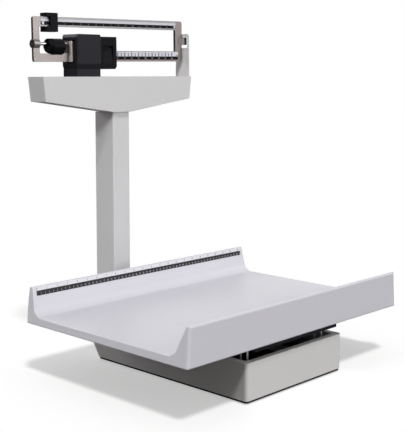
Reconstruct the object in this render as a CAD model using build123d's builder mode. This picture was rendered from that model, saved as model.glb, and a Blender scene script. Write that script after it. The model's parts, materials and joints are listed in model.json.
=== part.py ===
"""Mechanical baby scale: a lever base with a tray, a column, and a double beam with two poises.

Millimetres, +Z up, front towards -Y. The origin is on the floor, in the middle of the overall footprint.
"""

from build123d import *
from math import cos, radians, sin
import os

os.makedirs("parts", exist_ok=True)

# Clearances
SEAT_GAP = 0.1
SLIDE_GAP = 0.4
RUN_GAP = 0.3
SHEET = 1.5

# Places along Y, counted from the middle of the tray
TRAY_Y = -65.5
BEAM_BACK = 307.5

# Tray
TRAY_LENGTH = 618.0
TRAY_DEPTH = 441.0
TRAY_BOTTOM_Z = 106.5
TRAY_HEIGHT = 71.0
TRAY_SKIRT = 15.0
TRAY_WALL = 3.0
TRAY_CORNER = 6.0
TRAY_END_SOLID = 8.5
TRAY_END_DRAFT = 5.0
TRAY_BACK_DRAFT = 7.5
FRONT_WALL_TOP = 6.5
FRONT_WALL_FOOT = 29.0
BACK_WALL_TOP = 8.0
BACK_WALL_FOOT = 25.0
WALL_FOOT_RISE = 8.5
TRAY_FLOOR_BEND = 14.0
TRAY_EDGE_ROUND = 3.0
TRAY_LIP_ROUND = 2.2
TRAY_ROOT_ROUND = 14.0
TRAY_BEND_ROUND = 18.0
TRAY_TOP_SOLID = 6.6
TRAY_LIP_SOLID = 1.8
TRAY_HOLLOW_ROUND = 0.6
RIB_THICKNESS = 2.5
RIB_COLUMNS = 5
RIB_ROWS = 6
RIB_MARGIN_X = 6.0
RIB_MARGIN_Y = 12.0
TRAY_BOSS_RADIUS = 6.0
TRAY_SCREW_INSET = 33.5
TRAY_SCREW_Y = 140.0
TRAY_SCREW_RADIUS = 2.0
TRAY_SCREW_LENGTH = 9.0

# Measuring rule on the tray's back wall
RULE_LENGTH = 594.0
RULE_HEIGHT = 16.4
RULE_THICKNESS = 0.6
RULE_TOP_GAP = 2.5
RULE_CORNER = 1.0

# Platform pan, posts and bearing blocks
PAN_INSET = 17.0
PAN_FRONT = 206.5
PAN_BACK = 198.0
PAN_SHEET = 2.0
PAN_DEPTH = 12.5
PAN_CORNER = 6.0
POST_RADIUS = 2.0
POST_PITCH = 16.0
BLOCK_INSET = 14.5
BLOCK_WIDTH = 12.0
BLOCK_MARGIN = 3.0
BLOCK_HEIGHT = 12.0

# Base shell, bottom plate and feet
BASE_LENGTH = 284.0
BASE_FRONT = 203.4
BASE_BACK = 205.5
BASE_TOP_BACK = 253.0
BASE_LIFT = 6.3
BASE_TOP_Z = 76.5
BASE_CORNER = 7.0
BASE_FLANGE = 12.0
BACK_OPENING_HALF = 24.0
PLATE_INSET = 2.0
PLATE_THICKNESS = 2.0
PLATE_RISE = 0.5
PLATE_RIM = 2.0
PLATE_RIM_DEPTH = 2.6
FOOT_RADIUS = 13.0
FOOT_INSET = 22.0
FOOT_BACK_GAP = 13.0
FOOT_BUTTON_RADIUS = 3.0
FOOT_BUTTON_LIP = 1.0
BASE_SCREW_RADIUS = 2.0
BASE_SCREW_INSET = 7.0
BASE_TAB = 14.0

# Lever system in the base
LEVER_ARM = 20.0
FULCRUM_Y = 189.0
LONG_LEVER_Z = 50.0
SHORT_LEVER_Z = 29.0
LEVER_BAR = 12.0
LEVER_HEIGHT = 15.0
LEVER_BAR_INSET = 16.0
KNIFE_HALF = 2.6
KNIFE_HEIGHT = 4.5
KNIFE_OVERHANG = 1.0
V_DEPTH = 5.0
LEVER_KNEE = 151.0
STAND_WIDTH = 12.0
STAND_LENGTH = 10.0
LINK_WIDTH = 8.0
LINK_WALL = 4.0
LINK_INNER = 19.0
LINK_PLAY = 4.0
LINK_CORNER = 2.0
HEAD_LOOP_PLAY = 1.5

# Column and its bracket
COLUMN_WIDTH = 47.5
COLUMN_FRONT = 287.0
COLUMN_DEPTH = 61.0
COLUMN_CORNER = 3.0
BRACKET_SHEET = 2.0
BRACKET_WIDTH = 68.0
BRACKET_FRONT = 212.0
BRACKET_BACK = 351.5
BRACKET_BOTTOM_Z = 26.0
BRACKET_TOP_Z = 92.0
BRACKET_CORNER = 6.0
BOLT_RADIUS = 2.5
BOLT_HEAD_RADIUS = 5.0
BOLT_HEAD = 3.0
ROD_RADIUS = 2.0
SCREW_HEAD_RATIO = 1.8

# Head housing
HEAD_TOP_Z = 581.7
HEAD_END_Z = 531.0
HEAD_BOTTOM_Z = 505.0
HEAD_TOP_HALF = 213.0
HEAD_END_DRAFT = 6.0
HEAD_FLAT_HALF = 23.0
HEAD_FRONT = 280.5
HEAD_DEPTH = 54.0
HEAD_CORNER = 3.0
PLUG_HEIGHT = 40.0
PLUG_WALL = 3.0
BOLT_TAIL = 2.0
ROD_HOLE_RADIUS = 7.0
HEAD_BOLT_X = 14.0
HEAD_BOLT_Y = 14.0
SPACER_RADIUS = 5.0

# Chassis bar and stands in the head
CHASSIS_Z = 526.0
CHASSIS_THICKNESS = 4.0
CHASSIS_LEFT = -124.0
CHASSIS_RIGHT = 88.0
CHASSIS_WIDTH = 40.0
CHASSIS_CORNER = 3.0
CHASSIS_SCREW_RADIUS = 1.5
CHASSIS_SCREW_DEPTH = 8.0
PEDESTAL_SCREW_LEFT = 12.0
PEDESTAL_SCREW_RIGHT = 15.0
STAND_FOOT = 3.0
HEAD_LEVER_Z = 545.0
HEAD_LEVER_FULCRUM_X = 70.0
HEAD_LEVER_HEIGHT = 14.0
HEAD_LEVER_THICKNESS = 10.0
HEAD_LEVER_END = 8.0
HEAD_LEVER_LINK_END = 6.0
HEAD_LEVER_CORNER = 2.0
PILLAR_THICKNESS = 5.0
PILLAR_INNER = 14.0
PILLAR_WIDTH = 16.0
STRAP_THICKNESS = 2.0
STRAP_WIDTH = 10.0
STRAP_END = 8.0
STRAP_CORNER = 2.0

# Beam: lengths are counted from the fulcrum, along and across the beam
BEAM_TILT = 0.6
FULCRUM_X = -84.0
FULCRUM_Z = 628.0
LOAD_ARM = 24.0
BEAM_LEFT = 134.0
BEAM_TRIG_GAP = 4.3
BEAM_TOP = 77.0
BEAM_BOTTOM = 15.0
BEAM_THICKNESS = 6.0
LEFT_BAR = 15.6
RIGHT_BAR = 21.5
UPPER_BAR = 20.3
LOWER_BAR = 23.3
LOWER_LEFT_BAR = 17.2
BEAM_CORNER = 5.0
BEAM_INNER_CORNER = 1.5
HUB_LEFT = 48.0
HUB_RIGHT = 18.0
HUB_TOP = 28.0
HUB_HALF = 12.0
HUB_ROUND = 7.0
BOSS_HEIGHT = 21.7
BOSS_RADIUS = 9.0
BOSS_LEFT = 135.0
BOSS_RIGHT = 120.0
NOSE_BOTTOM = 23.3
NOSE_HEIGHT = 17.2
NOSE_LENGTH = 7.5
NOSE_THICKNESS = 8.0
SLEEVE_LENGTH = 8.0
SLEEVE_WALL = 1.2

# Scale plates on the beam's front face
PLATE_SHEET = 1.0
UPPER_PLATE_BOTTOM = 60.5
UPPER_PLATE_HEIGHT = 6.4
UPPER_PLATE_LEFT = 114.0
UPPER_PLATE_INSET = 21.0
LOWER_PLATE_BOTTOM = -10.6
LOWER_PLATE_HEIGHT = 18.0
LOWER_PLATE_START = 19.5
LOWER_PLATE_INSET = 14.0
RIVET_RADIUS = 1.6
RIVET_INSET = 4.0
RIVET_HEAD = 0.8

# Poises
SMALL_POISE_LEFT = 106.0
SMALL_POISE_LENGTH = 31.5
SMALL_POISE_BOTTOM = 46.0
SMALL_POISE_HEIGHT = 38.5
SMALL_POISE_DEPTH = 20.0
SMALL_MOUTH = 12.0
LARGE_POISE_LEFT = 27.0
LARGE_POISE_LENGTH = 53.5
LARGE_POISE_BOTTOM = -31.0
LARGE_POISE_HEIGHT = 69.0
LARGE_POISE_DEPTH = 27.0
POISE_CHAMFER = 2.0
LARGE_POISE_EDGE = 7.0
LARGE_POISE_CORNER = 6.0
NOTCH_FOOT = (41.0, 3.0)
NOTCH_TIP = (69.0, 18.5)
NOTCH_SIDE = 6.0
NOTCH_DEPTH = 6.0
FACET_FOOT = -19.0
FACET_SLOPE = 0.14
SMALL_PLUG_RADIUS = 5.0
LARGE_PLUG_RADIUS = 8.0
POISE_PLUG_DEPTH = 2.5

# Balance rod and weights
BALANCE_ROD_RADIUS = 3.5
LARGE_WEIGHT_RADIUS = 16.8
LARGE_WEIGHT_LENGTH = 30.3
LARGE_WEIGHT_DROP = 5.7
LARGE_WEIGHT_LEFT = 91.5
SMALL_WEIGHT_RADIUS = 14.7
SMALL_WEIGHT_LENGTH = 5.3
SMALL_WEIGHT_DROP = 3.6
WEIGHT_GAP = 0.5
LARGE_WEIGHT_CHAMFER = 2.0
SMALL_WEIGHT_CHAMFER = 1.2
WEIGHT_RECESS_RADIUS = 8.0
WEIGHT_RECESS_DEPTH = 3.0
BALANCE_ROD_SEAT = 10.0
BORE_GAP = 0.05
SET_SCREW_RADIUS = 1.5

# Pedestal and hood over the fulcrum
HOOD_LEFT = -123.5
HOOD_RIGHT = -58.6
HOOD_HALF = 26.5
HOOD_BOTTOM_Z = 597.7
HOOD_FLARE = 10.8
HOOD_FLARE_IN = 2.6
HOOD_TOP_Z = 670.0
HOOD_SHEET = 2.0
HOOD_CHAMFER = 5.0
HOOD_CHAMFER_DROP = 6.5
HOOD_EDGE = 2.5
HOOD_WINDOW_BOTTOM_Z = 610.4
HOOD_WINDOW_TOP_Z = 657.7
HOOD_WINDOW_HALF = 18.5
PEDESTAL_SIDE = 5.0
PEDESTAL_SHEET = 2.0
PEDESTAL_INSET_LEFT = 0.6
PEDESTAL_INSET_RIGHT = 0.4
PEDESTAL_INSET_FRONT = 2.9
RIM_DEPTH = 6.0
RIM_WALL = 1.2
LEVER_SLOT_HALF = 8.0
LEVER_SLOT_TOP_Z = 558.0

# Trig bracket at the right end of the head
TRIG_INSET = 3.7
TRIG_SHEET = 2.0
TRIG_FOOT_Z = 545.0
TRIG_TOP_Z = 679.5
TRIG_HALF_BOTTOM = 22.5
TRIG_HALF_TOP = 20.0
TRIG_WINDOW_HALF = 16.5
TRIG_WINDOW_BOTTOM_Z = 647.4
TRIG_WINDOW_TOP_Z = 671.9
TRIG_CORNER = 6.0
TRIG_RIVET_Z = 560.0
TRIG_RIVET_Y = 14.0
TRIG_RIVET_RADIUS = 2.5
TRIG_RIVET_HEAD = 1.2

# Values worked out from the sizes above
TRAY_TOP_Z = TRAY_BOTTOM_Z + TRAY_HEIGHT
TRAY_BACK_Y = TRAY_Y + TRAY_DEPTH / 2
BEAM_Y = TRAY_Y + BEAM_BACK
PAN_LENGTH = BASE_LENGTH - 2 * PAN_INSET
PAN_TOP_Z = TRAY_BOTTOM_Z
TRAY_SCREW_X = PAN_LENGTH / 2 - TRAY_SCREW_INSET
BASE_FRONT_Y = TRAY_Y - BASE_FRONT
BASE_BACK_Y = TRAY_Y + BASE_BACK
BASE_TOP_BACK_Y = TRAY_Y + BASE_TOP_BACK
PLATE_BOTTOM_Z = BASE_LIFT + PLATE_RISE - PLATE_THICKNESS
PLATE_TOP_Z = PLATE_BOTTOM_Z + PLATE_THICKNESS
FRONT_FULCRUM_Y = TRAY_Y - FULCRUM_Y
BACK_FULCRUM_Y = TRAY_Y + FULCRUM_Y
FRONT_LOAD_Y = FRONT_FULCRUM_Y + LEVER_ARM
BACK_LOAD_Y = BACK_FULCRUM_Y - LEVER_ARM
BLOCK_LENGTH = POST_PITCH + 2 * BLOCK_MARGIN
LEVER_PIVOT_X = PAN_LENGTH / 2 - BLOCK_INSET
LEVER_BAR_X = LEVER_PIVOT_X - LEVER_BAR_INSET
STAND_X = LEVER_PIVOT_X + BLOCK_WIDTH / 2 + STAND_WIDTH / 2
KNIFE_END_X = STAND_X + STAND_WIDTH / 2 + 2 * KNIFE_OVERHANG
COLUMN_FRONT_Y = TRAY_Y + COLUMN_FRONT
COLUMN_Y = COLUMN_FRONT_Y + COLUMN_DEPTH / 2
BRACKET_FRONT_Y = TRAY_Y + BRACKET_FRONT
BRACKET_BACK_Y = TRAY_Y + BRACKET_BACK
BRACKET_Y = (BRACKET_FRONT_Y + BRACKET_BACK_Y) / 2
HEAD_FRONT_Y = TRAY_Y + HEAD_FRONT
HEAD_BACK_Y = HEAD_FRONT_Y + HEAD_DEPTH
HEAD_Y = (HEAD_FRONT_Y + HEAD_BACK_Y) / 2
HEAD_END_HALF = HEAD_TOP_HALF - HEAD_END_DRAFT
CHASSIS_TOP_Z = CHASSIS_Z + CHASSIS_THICKNESS
TRIG_X = HEAD_TOP_HALF - TRIG_INSET
BEAM_RIGHT = TRIG_X - FULCRUM_X - BEAM_TRIG_GAP
UPPER_PLATE_RIGHT = BEAM_RIGHT - UPPER_PLATE_INSET
LOWER_PLATE_RIGHT = BEAM_RIGHT - LOWER_PLATE_INSET
RIVET_SPOTS = (
    (-UPPER_PLATE_LEFT + RIVET_INSET, UPPER_PLATE_BOTTOM + UPPER_PLATE_HEIGHT / 2),
    (UPPER_PLATE_RIGHT - RIVET_INSET, UPPER_PLATE_BOTTOM + UPPER_PLATE_HEIGHT / 2),
    (LOWER_PLATE_START + RIVET_INSET, LOWER_PLATE_BOTTOM + LOWER_PLATE_HEIGHT / 2),
    (LOWER_PLATE_RIGHT - RIVET_INSET, LOWER_PLATE_BOTTOM + LOWER_PLATE_HEIGHT / 2),
)
PEDESTAL_LEFT = HOOD_LEFT + PEDESTAL_INSET_LEFT
PEDESTAL_RIGHT = HOOD_RIGHT - PEDESTAL_INSET_RIGHT
PEDESTAL_HALF = HOOD_HALF - PEDESTAL_INSET_FRONT
LINK_X = FULCRUM_X - LOAD_ARM

# The beam's own frame: x along the beam, y up across it, z towards the front
BEAM_PLANE = Plane(
    origin=(FULCRUM_X, BEAM_Y, FULCRUM_Z),
    x_dir=(cos(radians(BEAM_TILT)), 0, sin(radians(BEAM_TILT))),
    z_dir=(0, -1, 0),
)


def beam_section(x, y):
    """A plane across the beam at a point of its own frame, facing along the beam to the right."""
    origin = BEAM_PLANE.from_local_coords((x, y, 0))
    return Plane(origin=origin, x_dir=(0, 1, 0), z_dir=BEAM_PLANE.x_dir)


def knife(plane, point_up=True):
    """A knife edge's section on a plane: its point at the plane's origin, its body below or above."""
    side = -1 if point_up else 1
    with BuildSketch(plane) as section:
        with BuildLine():
            Polyline(
                (0, 0),
                (KNIFE_HALF, side * KNIFE_HEIGHT),
                (-KNIFE_HALF, side * KNIFE_HEIGHT),
                close=True,
            )
        make_face()
    return section.sketch


def side_plane(x, y, z):
    """A plane across X through a point: its x runs along Y and its y up."""
    return Plane(origin=(x, y, z), x_dir=(0, 1, 0), z_dir=(1, 0, 0))


def front_plane(x, y, z):
    """A plane across Y through a point: its x runs along X and its y up."""
    return Plane(origin=(x, y, z), x_dir=(1, 0, 0), z_dir=(0, -1, 0))


TRAY_ROUNDS = (TRAY_EDGE_ROUND, TRAY_LIP_ROUND, TRAY_ROOT_ROUND, TRAY_BEND_ROUND)


def tray_outline(inset):
    """The tray's section across X, drawn inward by inset except at the bottom."""
    front = -TRAY_DEPTH / 2 + inset
    back = TRAY_DEPTH / 2 - inset
    top = TRAY_HEIGHT - (TRAY_TOP_SOLID if inset else 0)
    lip = TRAY_LIP_SOLID if inset else 0
    floor = TRAY_SKIRT - inset
    lean = TRAY_BACK_DRAFT
    with BuildSketch(side_plane(0, TRAY_Y, TRAY_BOTTOM_Z)) as section:
        with BuildLine():
            FilletPolyline(
                (front, 0),
                (front, top),
                (-TRAY_DEPTH / 2 + FRONT_WALL_TOP - lip, top),
                (-TRAY_DEPTH / 2 + FRONT_WALL_FOOT - inset, TRAY_SKIRT + WALL_FOOT_RISE - inset),
                (-TRAY_DEPTH / 2 + FRONT_WALL_FOOT + TRAY_FLOOR_BEND, floor),
                (TRAY_DEPTH / 2 - BACK_WALL_FOOT - TRAY_FLOOR_BEND, floor),
                (TRAY_DEPTH / 2 - BACK_WALL_FOOT + inset, TRAY_SKIRT + WALL_FOOT_RISE - inset),
                (TRAY_DEPTH / 2 - lean - BACK_WALL_TOP + lip, top),
                (back - lean, top),
                (back, 0),
                radius=TRAY_HOLLOW_ROUND if inset else (*TRAY_ROUNDS, *reversed(TRAY_ROUNDS)),
            )
            Line((back, 0), (front, 0))
        make_face()
    return section.sketch


# Tray: a U-shaped moulding, open at both ends and hollow underneath
with BuildPart() as tray:
    extrude(tray_outline(0), amount=TRAY_LENGTH / 2, both=True)
    with BuildSketch(Plane.XY.offset(TRAY_BOTTOM_Z)):
        with Locations((0, TRAY_Y)):
            RectangleRounded(TRAY_LENGTH, TRAY_DEPTH, TRAY_CORNER)
    with BuildSketch(Plane.XY.offset(TRAY_TOP_Z)):
        with Locations((0, TRAY_Y)):
            RectangleRounded(TRAY_LENGTH - 2 * TRAY_END_DRAFT, TRAY_DEPTH, TRAY_CORNER)
    loft(ruled=True, mode=Mode.INTERSECT)
    extrude(tray_outline(TRAY_WALL), amount=TRAY_LENGTH / 2 - TRAY_END_SOLID, both=True, mode=Mode.SUBTRACT)
    with BuildSketch(side_plane(0, TRAY_Y, TRAY_BOTTOM_Z)):
        with Locations((0, (TRAY_SKIRT - TRAY_WALL) / 2)):
            Rectangle(TRAY_DEPTH - 2 * TRAY_CORNER, TRAY_SKIRT - TRAY_WALL)
    extrude(amount=TRAY_LENGTH / 2 - TRAY_WALL, both=True, mode=Mode.SUBTRACT)
    rib_reach_x = PAN_LENGTH / 2 - RIB_MARGIN_X
    rib_reach_y = PAN_BACK - RIB_MARGIN_Y
    with BuildSketch(Plane.XY.offset(TRAY_BOTTOM_Z)):
        with Locations((0, TRAY_Y)):
            with GridLocations(2 * rib_reach_x / (RIB_COLUMNS - 1), 0, RIB_COLUMNS, 1):
                Rectangle(RIB_THICKNESS, 2 * rib_reach_y)
            with GridLocations(0, 2 * rib_reach_y / (RIB_ROWS - 1), 1, RIB_ROWS):
                Rectangle(2 * rib_reach_x, RIB_THICKNESS)
            with GridLocations(2 * TRAY_SCREW_X, 2 * TRAY_SCREW_Y, 2, 2):
                Circle(TRAY_BOSS_RADIUS)
    extrude(amount=TRAY_SKIRT - TRAY_WALL / 2)
    with BuildSketch(Plane.XY.offset(TRAY_BOTTOM_Z)):
        with Locations((0, TRAY_Y)):
            with GridLocations(2 * TRAY_SCREW_X, 2 * TRAY_SCREW_Y, 2, 2):
                Circle(TRAY_SCREW_RADIUS)
    extrude(amount=TRAY_SCREW_LENGTH + 1, mode=Mode.SUBTRACT)
tray.part.label = "tray"
export_step(tray.part, "parts/tray.step")

# Measuring rule: a printed strip on the inner face of the back wall, leaning with it
wall_run = BACK_WALL_FOOT - BACK_WALL_TOP - TRAY_BACK_DRAFT
wall_rise = TRAY_HEIGHT - TRAY_SKIRT - WALL_FOOT_RISE
wall_length = (wall_run**2 + wall_rise**2) ** 0.5
BACK_WALL_PLANE = Plane(
    origin=(0, TRAY_BACK_Y - TRAY_BACK_DRAFT - BACK_WALL_TOP, TRAY_TOP_Z),
    x_dir=(1, 0, 0),
    z_dir=(0, -wall_rise / wall_length, wall_run / wall_length),
)
with BuildPart() as measuring_rule:
    with BuildSketch(BACK_WALL_PLANE):
        with Locations((0, -RULE_TOP_GAP - RULE_HEIGHT / 2)):
            RectangleRounded(RULE_LENGTH, RULE_HEIGHT, RULE_CORNER)
    extrude(amount=RULE_THICKNESS)
measuring_rule.part.label = "measuring_rule"
export_step(measuring_rule.part, "parts/measuring_rule.step")

# Platform pan: a black pressed pan under the tray with a flange all round
with BuildPart() as platform_pan:
    with BuildSketch(Plane.XY.offset(PAN_TOP_Z)):
        with Locations((0, TRAY_Y + (PAN_BACK - PAN_FRONT) / 2)):
            RectangleRounded(PAN_LENGTH, PAN_FRONT + PAN_BACK, PAN_CORNER)
    extrude(amount=-PAN_DEPTH)
    with BuildSketch(Plane.XY.offset(PAN_TOP_Z - PAN_SHEET)):
        with Locations((0, TRAY_Y + (PAN_BACK - PAN_FRONT) / 2)):
            RectangleRounded(
                PAN_LENGTH - 2 * PAN_SHEET,
                PAN_FRONT + PAN_BACK - 2 * PAN_SHEET,
                PAN_CORNER - PAN_SHEET,
            )
    extrude(amount=-PAN_DEPTH, mode=Mode.SUBTRACT)
    with BuildSketch(Plane.XY.offset(PAN_TOP_Z)):
        with Locations((0, TRAY_Y)):
            with GridLocations(2 * TRAY_SCREW_X, 2 * TRAY_SCREW_Y, 2, 2):
                Circle(TRAY_SCREW_RADIUS)
        for load_y in (FRONT_LOAD_Y, BACK_LOAD_Y):
            with Locations((0, load_y)):
                with GridLocations(2 * LEVER_PIVOT_X, POST_PITCH, 2, 2):
                    Circle(POST_RADIUS)
    extrude(amount=-PAN_SHEET, mode=Mode.SUBTRACT)
platform_pan.part.label = "platform_pan"
export_step(platform_pan.part, "parts/platform_pan.step")

with BuildPart() as tray_screws:
    with BuildSketch(Plane.XY.offset(PAN_TOP_Z - PAN_SHEET)):
        with Locations((0, TRAY_Y)):
            with GridLocations(2 * TRAY_SCREW_X, 2 * TRAY_SCREW_Y, 2, 2):
                Circle(TRAY_SCREW_RADIUS)
    extrude(amount=PAN_SHEET + TRAY_SCREW_LENGTH)
    with BuildSketch(Plane.XY.offset(PAN_TOP_Z - PAN_SHEET)):
        with Locations((0, TRAY_Y)):
            with GridLocations(2 * TRAY_SCREW_X, 2 * TRAY_SCREW_Y, 2, 2):
                Circle(SCREW_HEAD_RATIO * TRAY_SCREW_RADIUS)
    extrude(amount=-TRAY_SCREW_RADIUS)
tray_screws.part.label = "tray_screws"
export_step(tray_screws.part, "parts/tray_screws.step")

# Bearing blocks: each rests on a load knife edge, point up, and carries two posts
CORNERS = (
    (FRONT_LOAD_Y, LONG_LEVER_Z),
    (BACK_LOAD_Y, SHORT_LEVER_Z),
)
with BuildPart() as bearing_blocks:
    for load_y, pivot_z in CORNERS:
        for side in (-1, 1):
            with BuildSketch(side_plane(side * LEVER_PIVOT_X, load_y, pivot_z + SEAT_GAP)) as block_side:
                with Locations((0, -V_DEPTH)):
                    Rectangle(BLOCK_LENGTH, BLOCK_HEIGHT + V_DEPTH, align=(Align.CENTER, Align.MIN))
                with BuildLine():
                    v_foot = 2 * V_DEPTH
                    Polyline((0, 0), (v_foot, -v_foot), (-v_foot, -v_foot), close=True)
                make_face(mode=Mode.SUBTRACT)
            extrude(amount=BLOCK_WIDTH / 2, both=True)
bearing_blocks.part.label = "bearing_blocks"
export_step(bearing_blocks.part, "parts/bearing_blocks.step")

with BuildPart() as bearing_posts:
    for load_y, pivot_z in CORNERS:
        block_top_z = pivot_z + SEAT_GAP + BLOCK_HEIGHT
        with BuildSketch(Plane.XY.offset(block_top_z)):
            with Locations((0, load_y)):
                with GridLocations(2 * LEVER_PIVOT_X, POST_PITCH, 2, 2):
                    Circle(POST_RADIUS)
        extrude(amount=PAN_TOP_Z - block_top_z)
bearing_posts.part.label = "bearing_posts"
export_step(bearing_posts.part, "parts/bearing_posts.step")


# Base shell: folded sheet, sloping outward at the back, open below and flanged round its open top
def base_outline(z, back_y, inset):
    """The base's outline at height z, drawn inward by inset."""
    length = back_y - BASE_FRONT_Y - 2 * inset
    with BuildSketch(Plane.XY.offset(z)) as outline:
        with Locations((0, (BASE_FRONT_Y + back_y) / 2)):
            RectangleRounded(BASE_LENGTH - 2 * inset, length, BASE_CORNER - inset)
    return outline.sketch


slope = (BASE_TOP_BACK_Y - BASE_BACK_Y) / (BASE_TOP_Z - BASE_LIFT)
PLATE_SCREW_Y = (BASE_FRONT_Y + SHEET + BASE_SCREW_INSET, BASE_BACK_Y - SHEET - BASE_SCREW_INSET)
with BuildPart() as base_shell:
    loft(
        [base_outline(BASE_LIFT, BASE_BACK_Y, 0), base_outline(BASE_TOP_Z, BASE_TOP_BACK_Y, 0)],
        ruled=True,
    )
    inner_back = BASE_TOP_BACK_Y - SHEET * slope
    loft(
        [
            base_outline(BASE_LIFT, BASE_BACK_Y, SHEET),
            base_outline(BASE_TOP_Z - SHEET, inner_back, SHEET),
        ],
        ruled=True,
        mode=Mode.SUBTRACT,
    )
    with BuildSketch(Plane.XY.offset(BASE_TOP_Z)):
        with Locations((0, (BASE_FRONT_Y + BASE_TOP_BACK_Y) / 2)):
            RectangleRounded(
                BASE_LENGTH - 2 * BASE_FLANGE,
                BASE_TOP_BACK_Y - BASE_FRONT_Y - 2 * BASE_FLANGE,
                BASE_CORNER - SHEET,
            )
    extrude(amount=-2 * SHEET, mode=Mode.SUBTRACT)
    # Opening in the sloping back for the lever's nose
    with BuildSketch(front_plane(0, BASE_BACK_Y, LONG_LEVER_Z)):
        Rectangle(2 * BACK_OPENING_HALF, 2 * LEVER_HEIGHT)
    extrude(amount=-(BASE_TOP_BACK_Y - BASE_BACK_Y), mode=Mode.SUBTRACT)
    # Tabs that take the bottom plate's screws
    with BuildSketch(Plane.XY.offset(PLATE_TOP_Z)):
        for screw_y in PLATE_SCREW_Y:
            with Locations((0, screw_y)):
                with GridLocations(BASE_LENGTH / 2, 0, 2, 1):
                    Rectangle(BASE_TAB, 2 * (BASE_SCREW_INSET + SHEET) - RUN_GAP)
    extrude(amount=SHEET)
    with BuildSketch(Plane.XY.offset(PLATE_TOP_Z)):
        for screw_y in PLATE_SCREW_Y:
            with Locations((0, screw_y)):
                with GridLocations(BASE_LENGTH / 2, 0, 2, 1):
                    Circle(BASE_SCREW_RADIUS)
    extrude(amount=2 * SHEET, mode=Mode.SUBTRACT)
base_shell.part.label = "base_shell"
export_step(base_shell.part, "parts/base_shell.step")

# Bottom plate with a rim turned down, set in from the shell's edge so that a dark line shows under it
PLATE_Y = (BASE_FRONT_Y + BASE_BACK_Y) / 2
PLATE_LENGTH = BASE_LENGTH - 2 * PLATE_INSET
PLATE_DEPTH = BASE_BACK_Y - BASE_FRONT_Y - 2 * PLATE_INSET
foot_x = PLATE_LENGTH / 2 - FOOT_INSET
FOOT_SPOTS = [
    (side * foot_x, foot_y)
    for foot_y in (BASE_FRONT_Y + PLATE_INSET + FOOT_INSET, BACK_FULCRUM_Y - FOOT_BACK_GAP)
    for side in (-1, 1)
]
with BuildPart() as bottom_plate:
    with BuildSketch(Plane.XY.offset(PLATE_BOTTOM_Z)):
        with Locations((0, PLATE_Y)):
            RectangleRounded(PLATE_LENGTH, PLATE_DEPTH, BASE_CORNER - PLATE_INSET)
        with Locations(*FOOT_SPOTS):
            Circle(FOOT_BUTTON_RADIUS, mode=Mode.SUBTRACT)
        for screw_y in PLATE_SCREW_Y:
            with Locations((0, screw_y)):
                with GridLocations(BASE_LENGTH / 2, 0, 2, 1):
                    Circle(BASE_SCREW_RADIUS, mode=Mode.SUBTRACT)
    extrude(amount=PLATE_THICKNESS)
    with BuildSketch(Plane.XY.offset(PLATE_BOTTOM_Z)):
        with Locations((0, PLATE_Y)):
            RectangleRounded(PLATE_LENGTH, PLATE_DEPTH, BASE_CORNER - PLATE_INSET)
            RectangleRounded(
                PLATE_LENGTH - 2 * PLATE_RIM,
                PLATE_DEPTH - 2 * PLATE_RIM,
                BASE_CORNER - PLATE_INSET - PLATE_RIM,
                mode=Mode.SUBTRACT,
            )
    extrude(amount=-PLATE_RIM_DEPTH)
bottom_plate.part.label = "bottom_plate"
export_step(bottom_plate.part, "parts/bottom_plate.step")

with BuildPart() as bottom_plate_screws:
    with BuildSketch(Plane.XY.offset(PLATE_BOTTOM_Z)):
        for screw_y in PLATE_SCREW_Y:
            with Locations((0, screw_y)):
                with GridLocations(BASE_LENGTH / 2, 0, 2, 1):
                    Circle(BASE_SCREW_RADIUS)
    extrude(amount=PLATE_THICKNESS + 2 * SHEET)
    with BuildSketch(Plane.XY.offset(PLATE_BOTTOM_Z)):
        for screw_y in PLATE_SCREW_Y:
            with Locations((0, screw_y)):
                with GridLocations(BASE_LENGTH / 2, 0, 2, 1):
                    Circle(SCREW_HEAD_RATIO * BASE_SCREW_RADIUS)
    extrude(amount=-SHEET)
bottom_plate_screws.part.label = "bottom_plate_screws"
export_step(bottom_plate_screws.part, "parts/bottom_plate_screws.step")

# Rubber feet with a button that snaps through the plate
with BuildPart() as rubber_feet:
    with BuildSketch(Plane.XY):
        with Locations(*FOOT_SPOTS):
            Circle(FOOT_RADIUS)
    extrude(amount=PLATE_BOTTOM_Z)
    with BuildSketch(Plane.XY.offset(PLATE_BOTTOM_Z)):
        with Locations(*FOOT_SPOTS):
            Circle(FOOT_BUTTON_RADIUS)
    extrude(amount=PLATE_THICKNESS)
    with BuildSketch(Plane.XY.offset(PLATE_TOP_Z)):
        with Locations(*FOOT_SPOTS):
            Circle(FOOT_BUTTON_RADIUS + FOOT_BUTTON_LIP)
    extrude(amount=PLATE_THICKNESS)
rubber_feet.part.label = "rubber_feet"
export_step(rubber_feet.part, "parts/rubber_feet.step")

# Lever stands: steel blocks with a V on top, one under each lever's fulcrum edge
STANDS = (
    (FRONT_FULCRUM_Y, LONG_LEVER_Z),
    (BACK_FULCRUM_Y, SHORT_LEVER_Z),
)
with BuildPart() as lever_stands:
    for stand_y, pivot_z in STANDS:
        for side in (-1, 1):
            with BuildSketch(side_plane(side * STAND_X, stand_y, pivot_z - SEAT_GAP)) as stand_side:
                with BuildLine():
                    half = STAND_LENGTH / 2
                    foot_z = PLATE_TOP_Z - pivot_z + SEAT_GAP
                    Polyline(
                        (0, 0), (half, half), (half, foot_z), (-half, foot_z), (-half, half), close=True
                    )
                make_face()
            extrude(amount=STAND_WIDTH / 2, both=True)
lever_stands.part.label = "lever_stands"
export_step(lever_stands.part, "parts/lever_stands.step")


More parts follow.
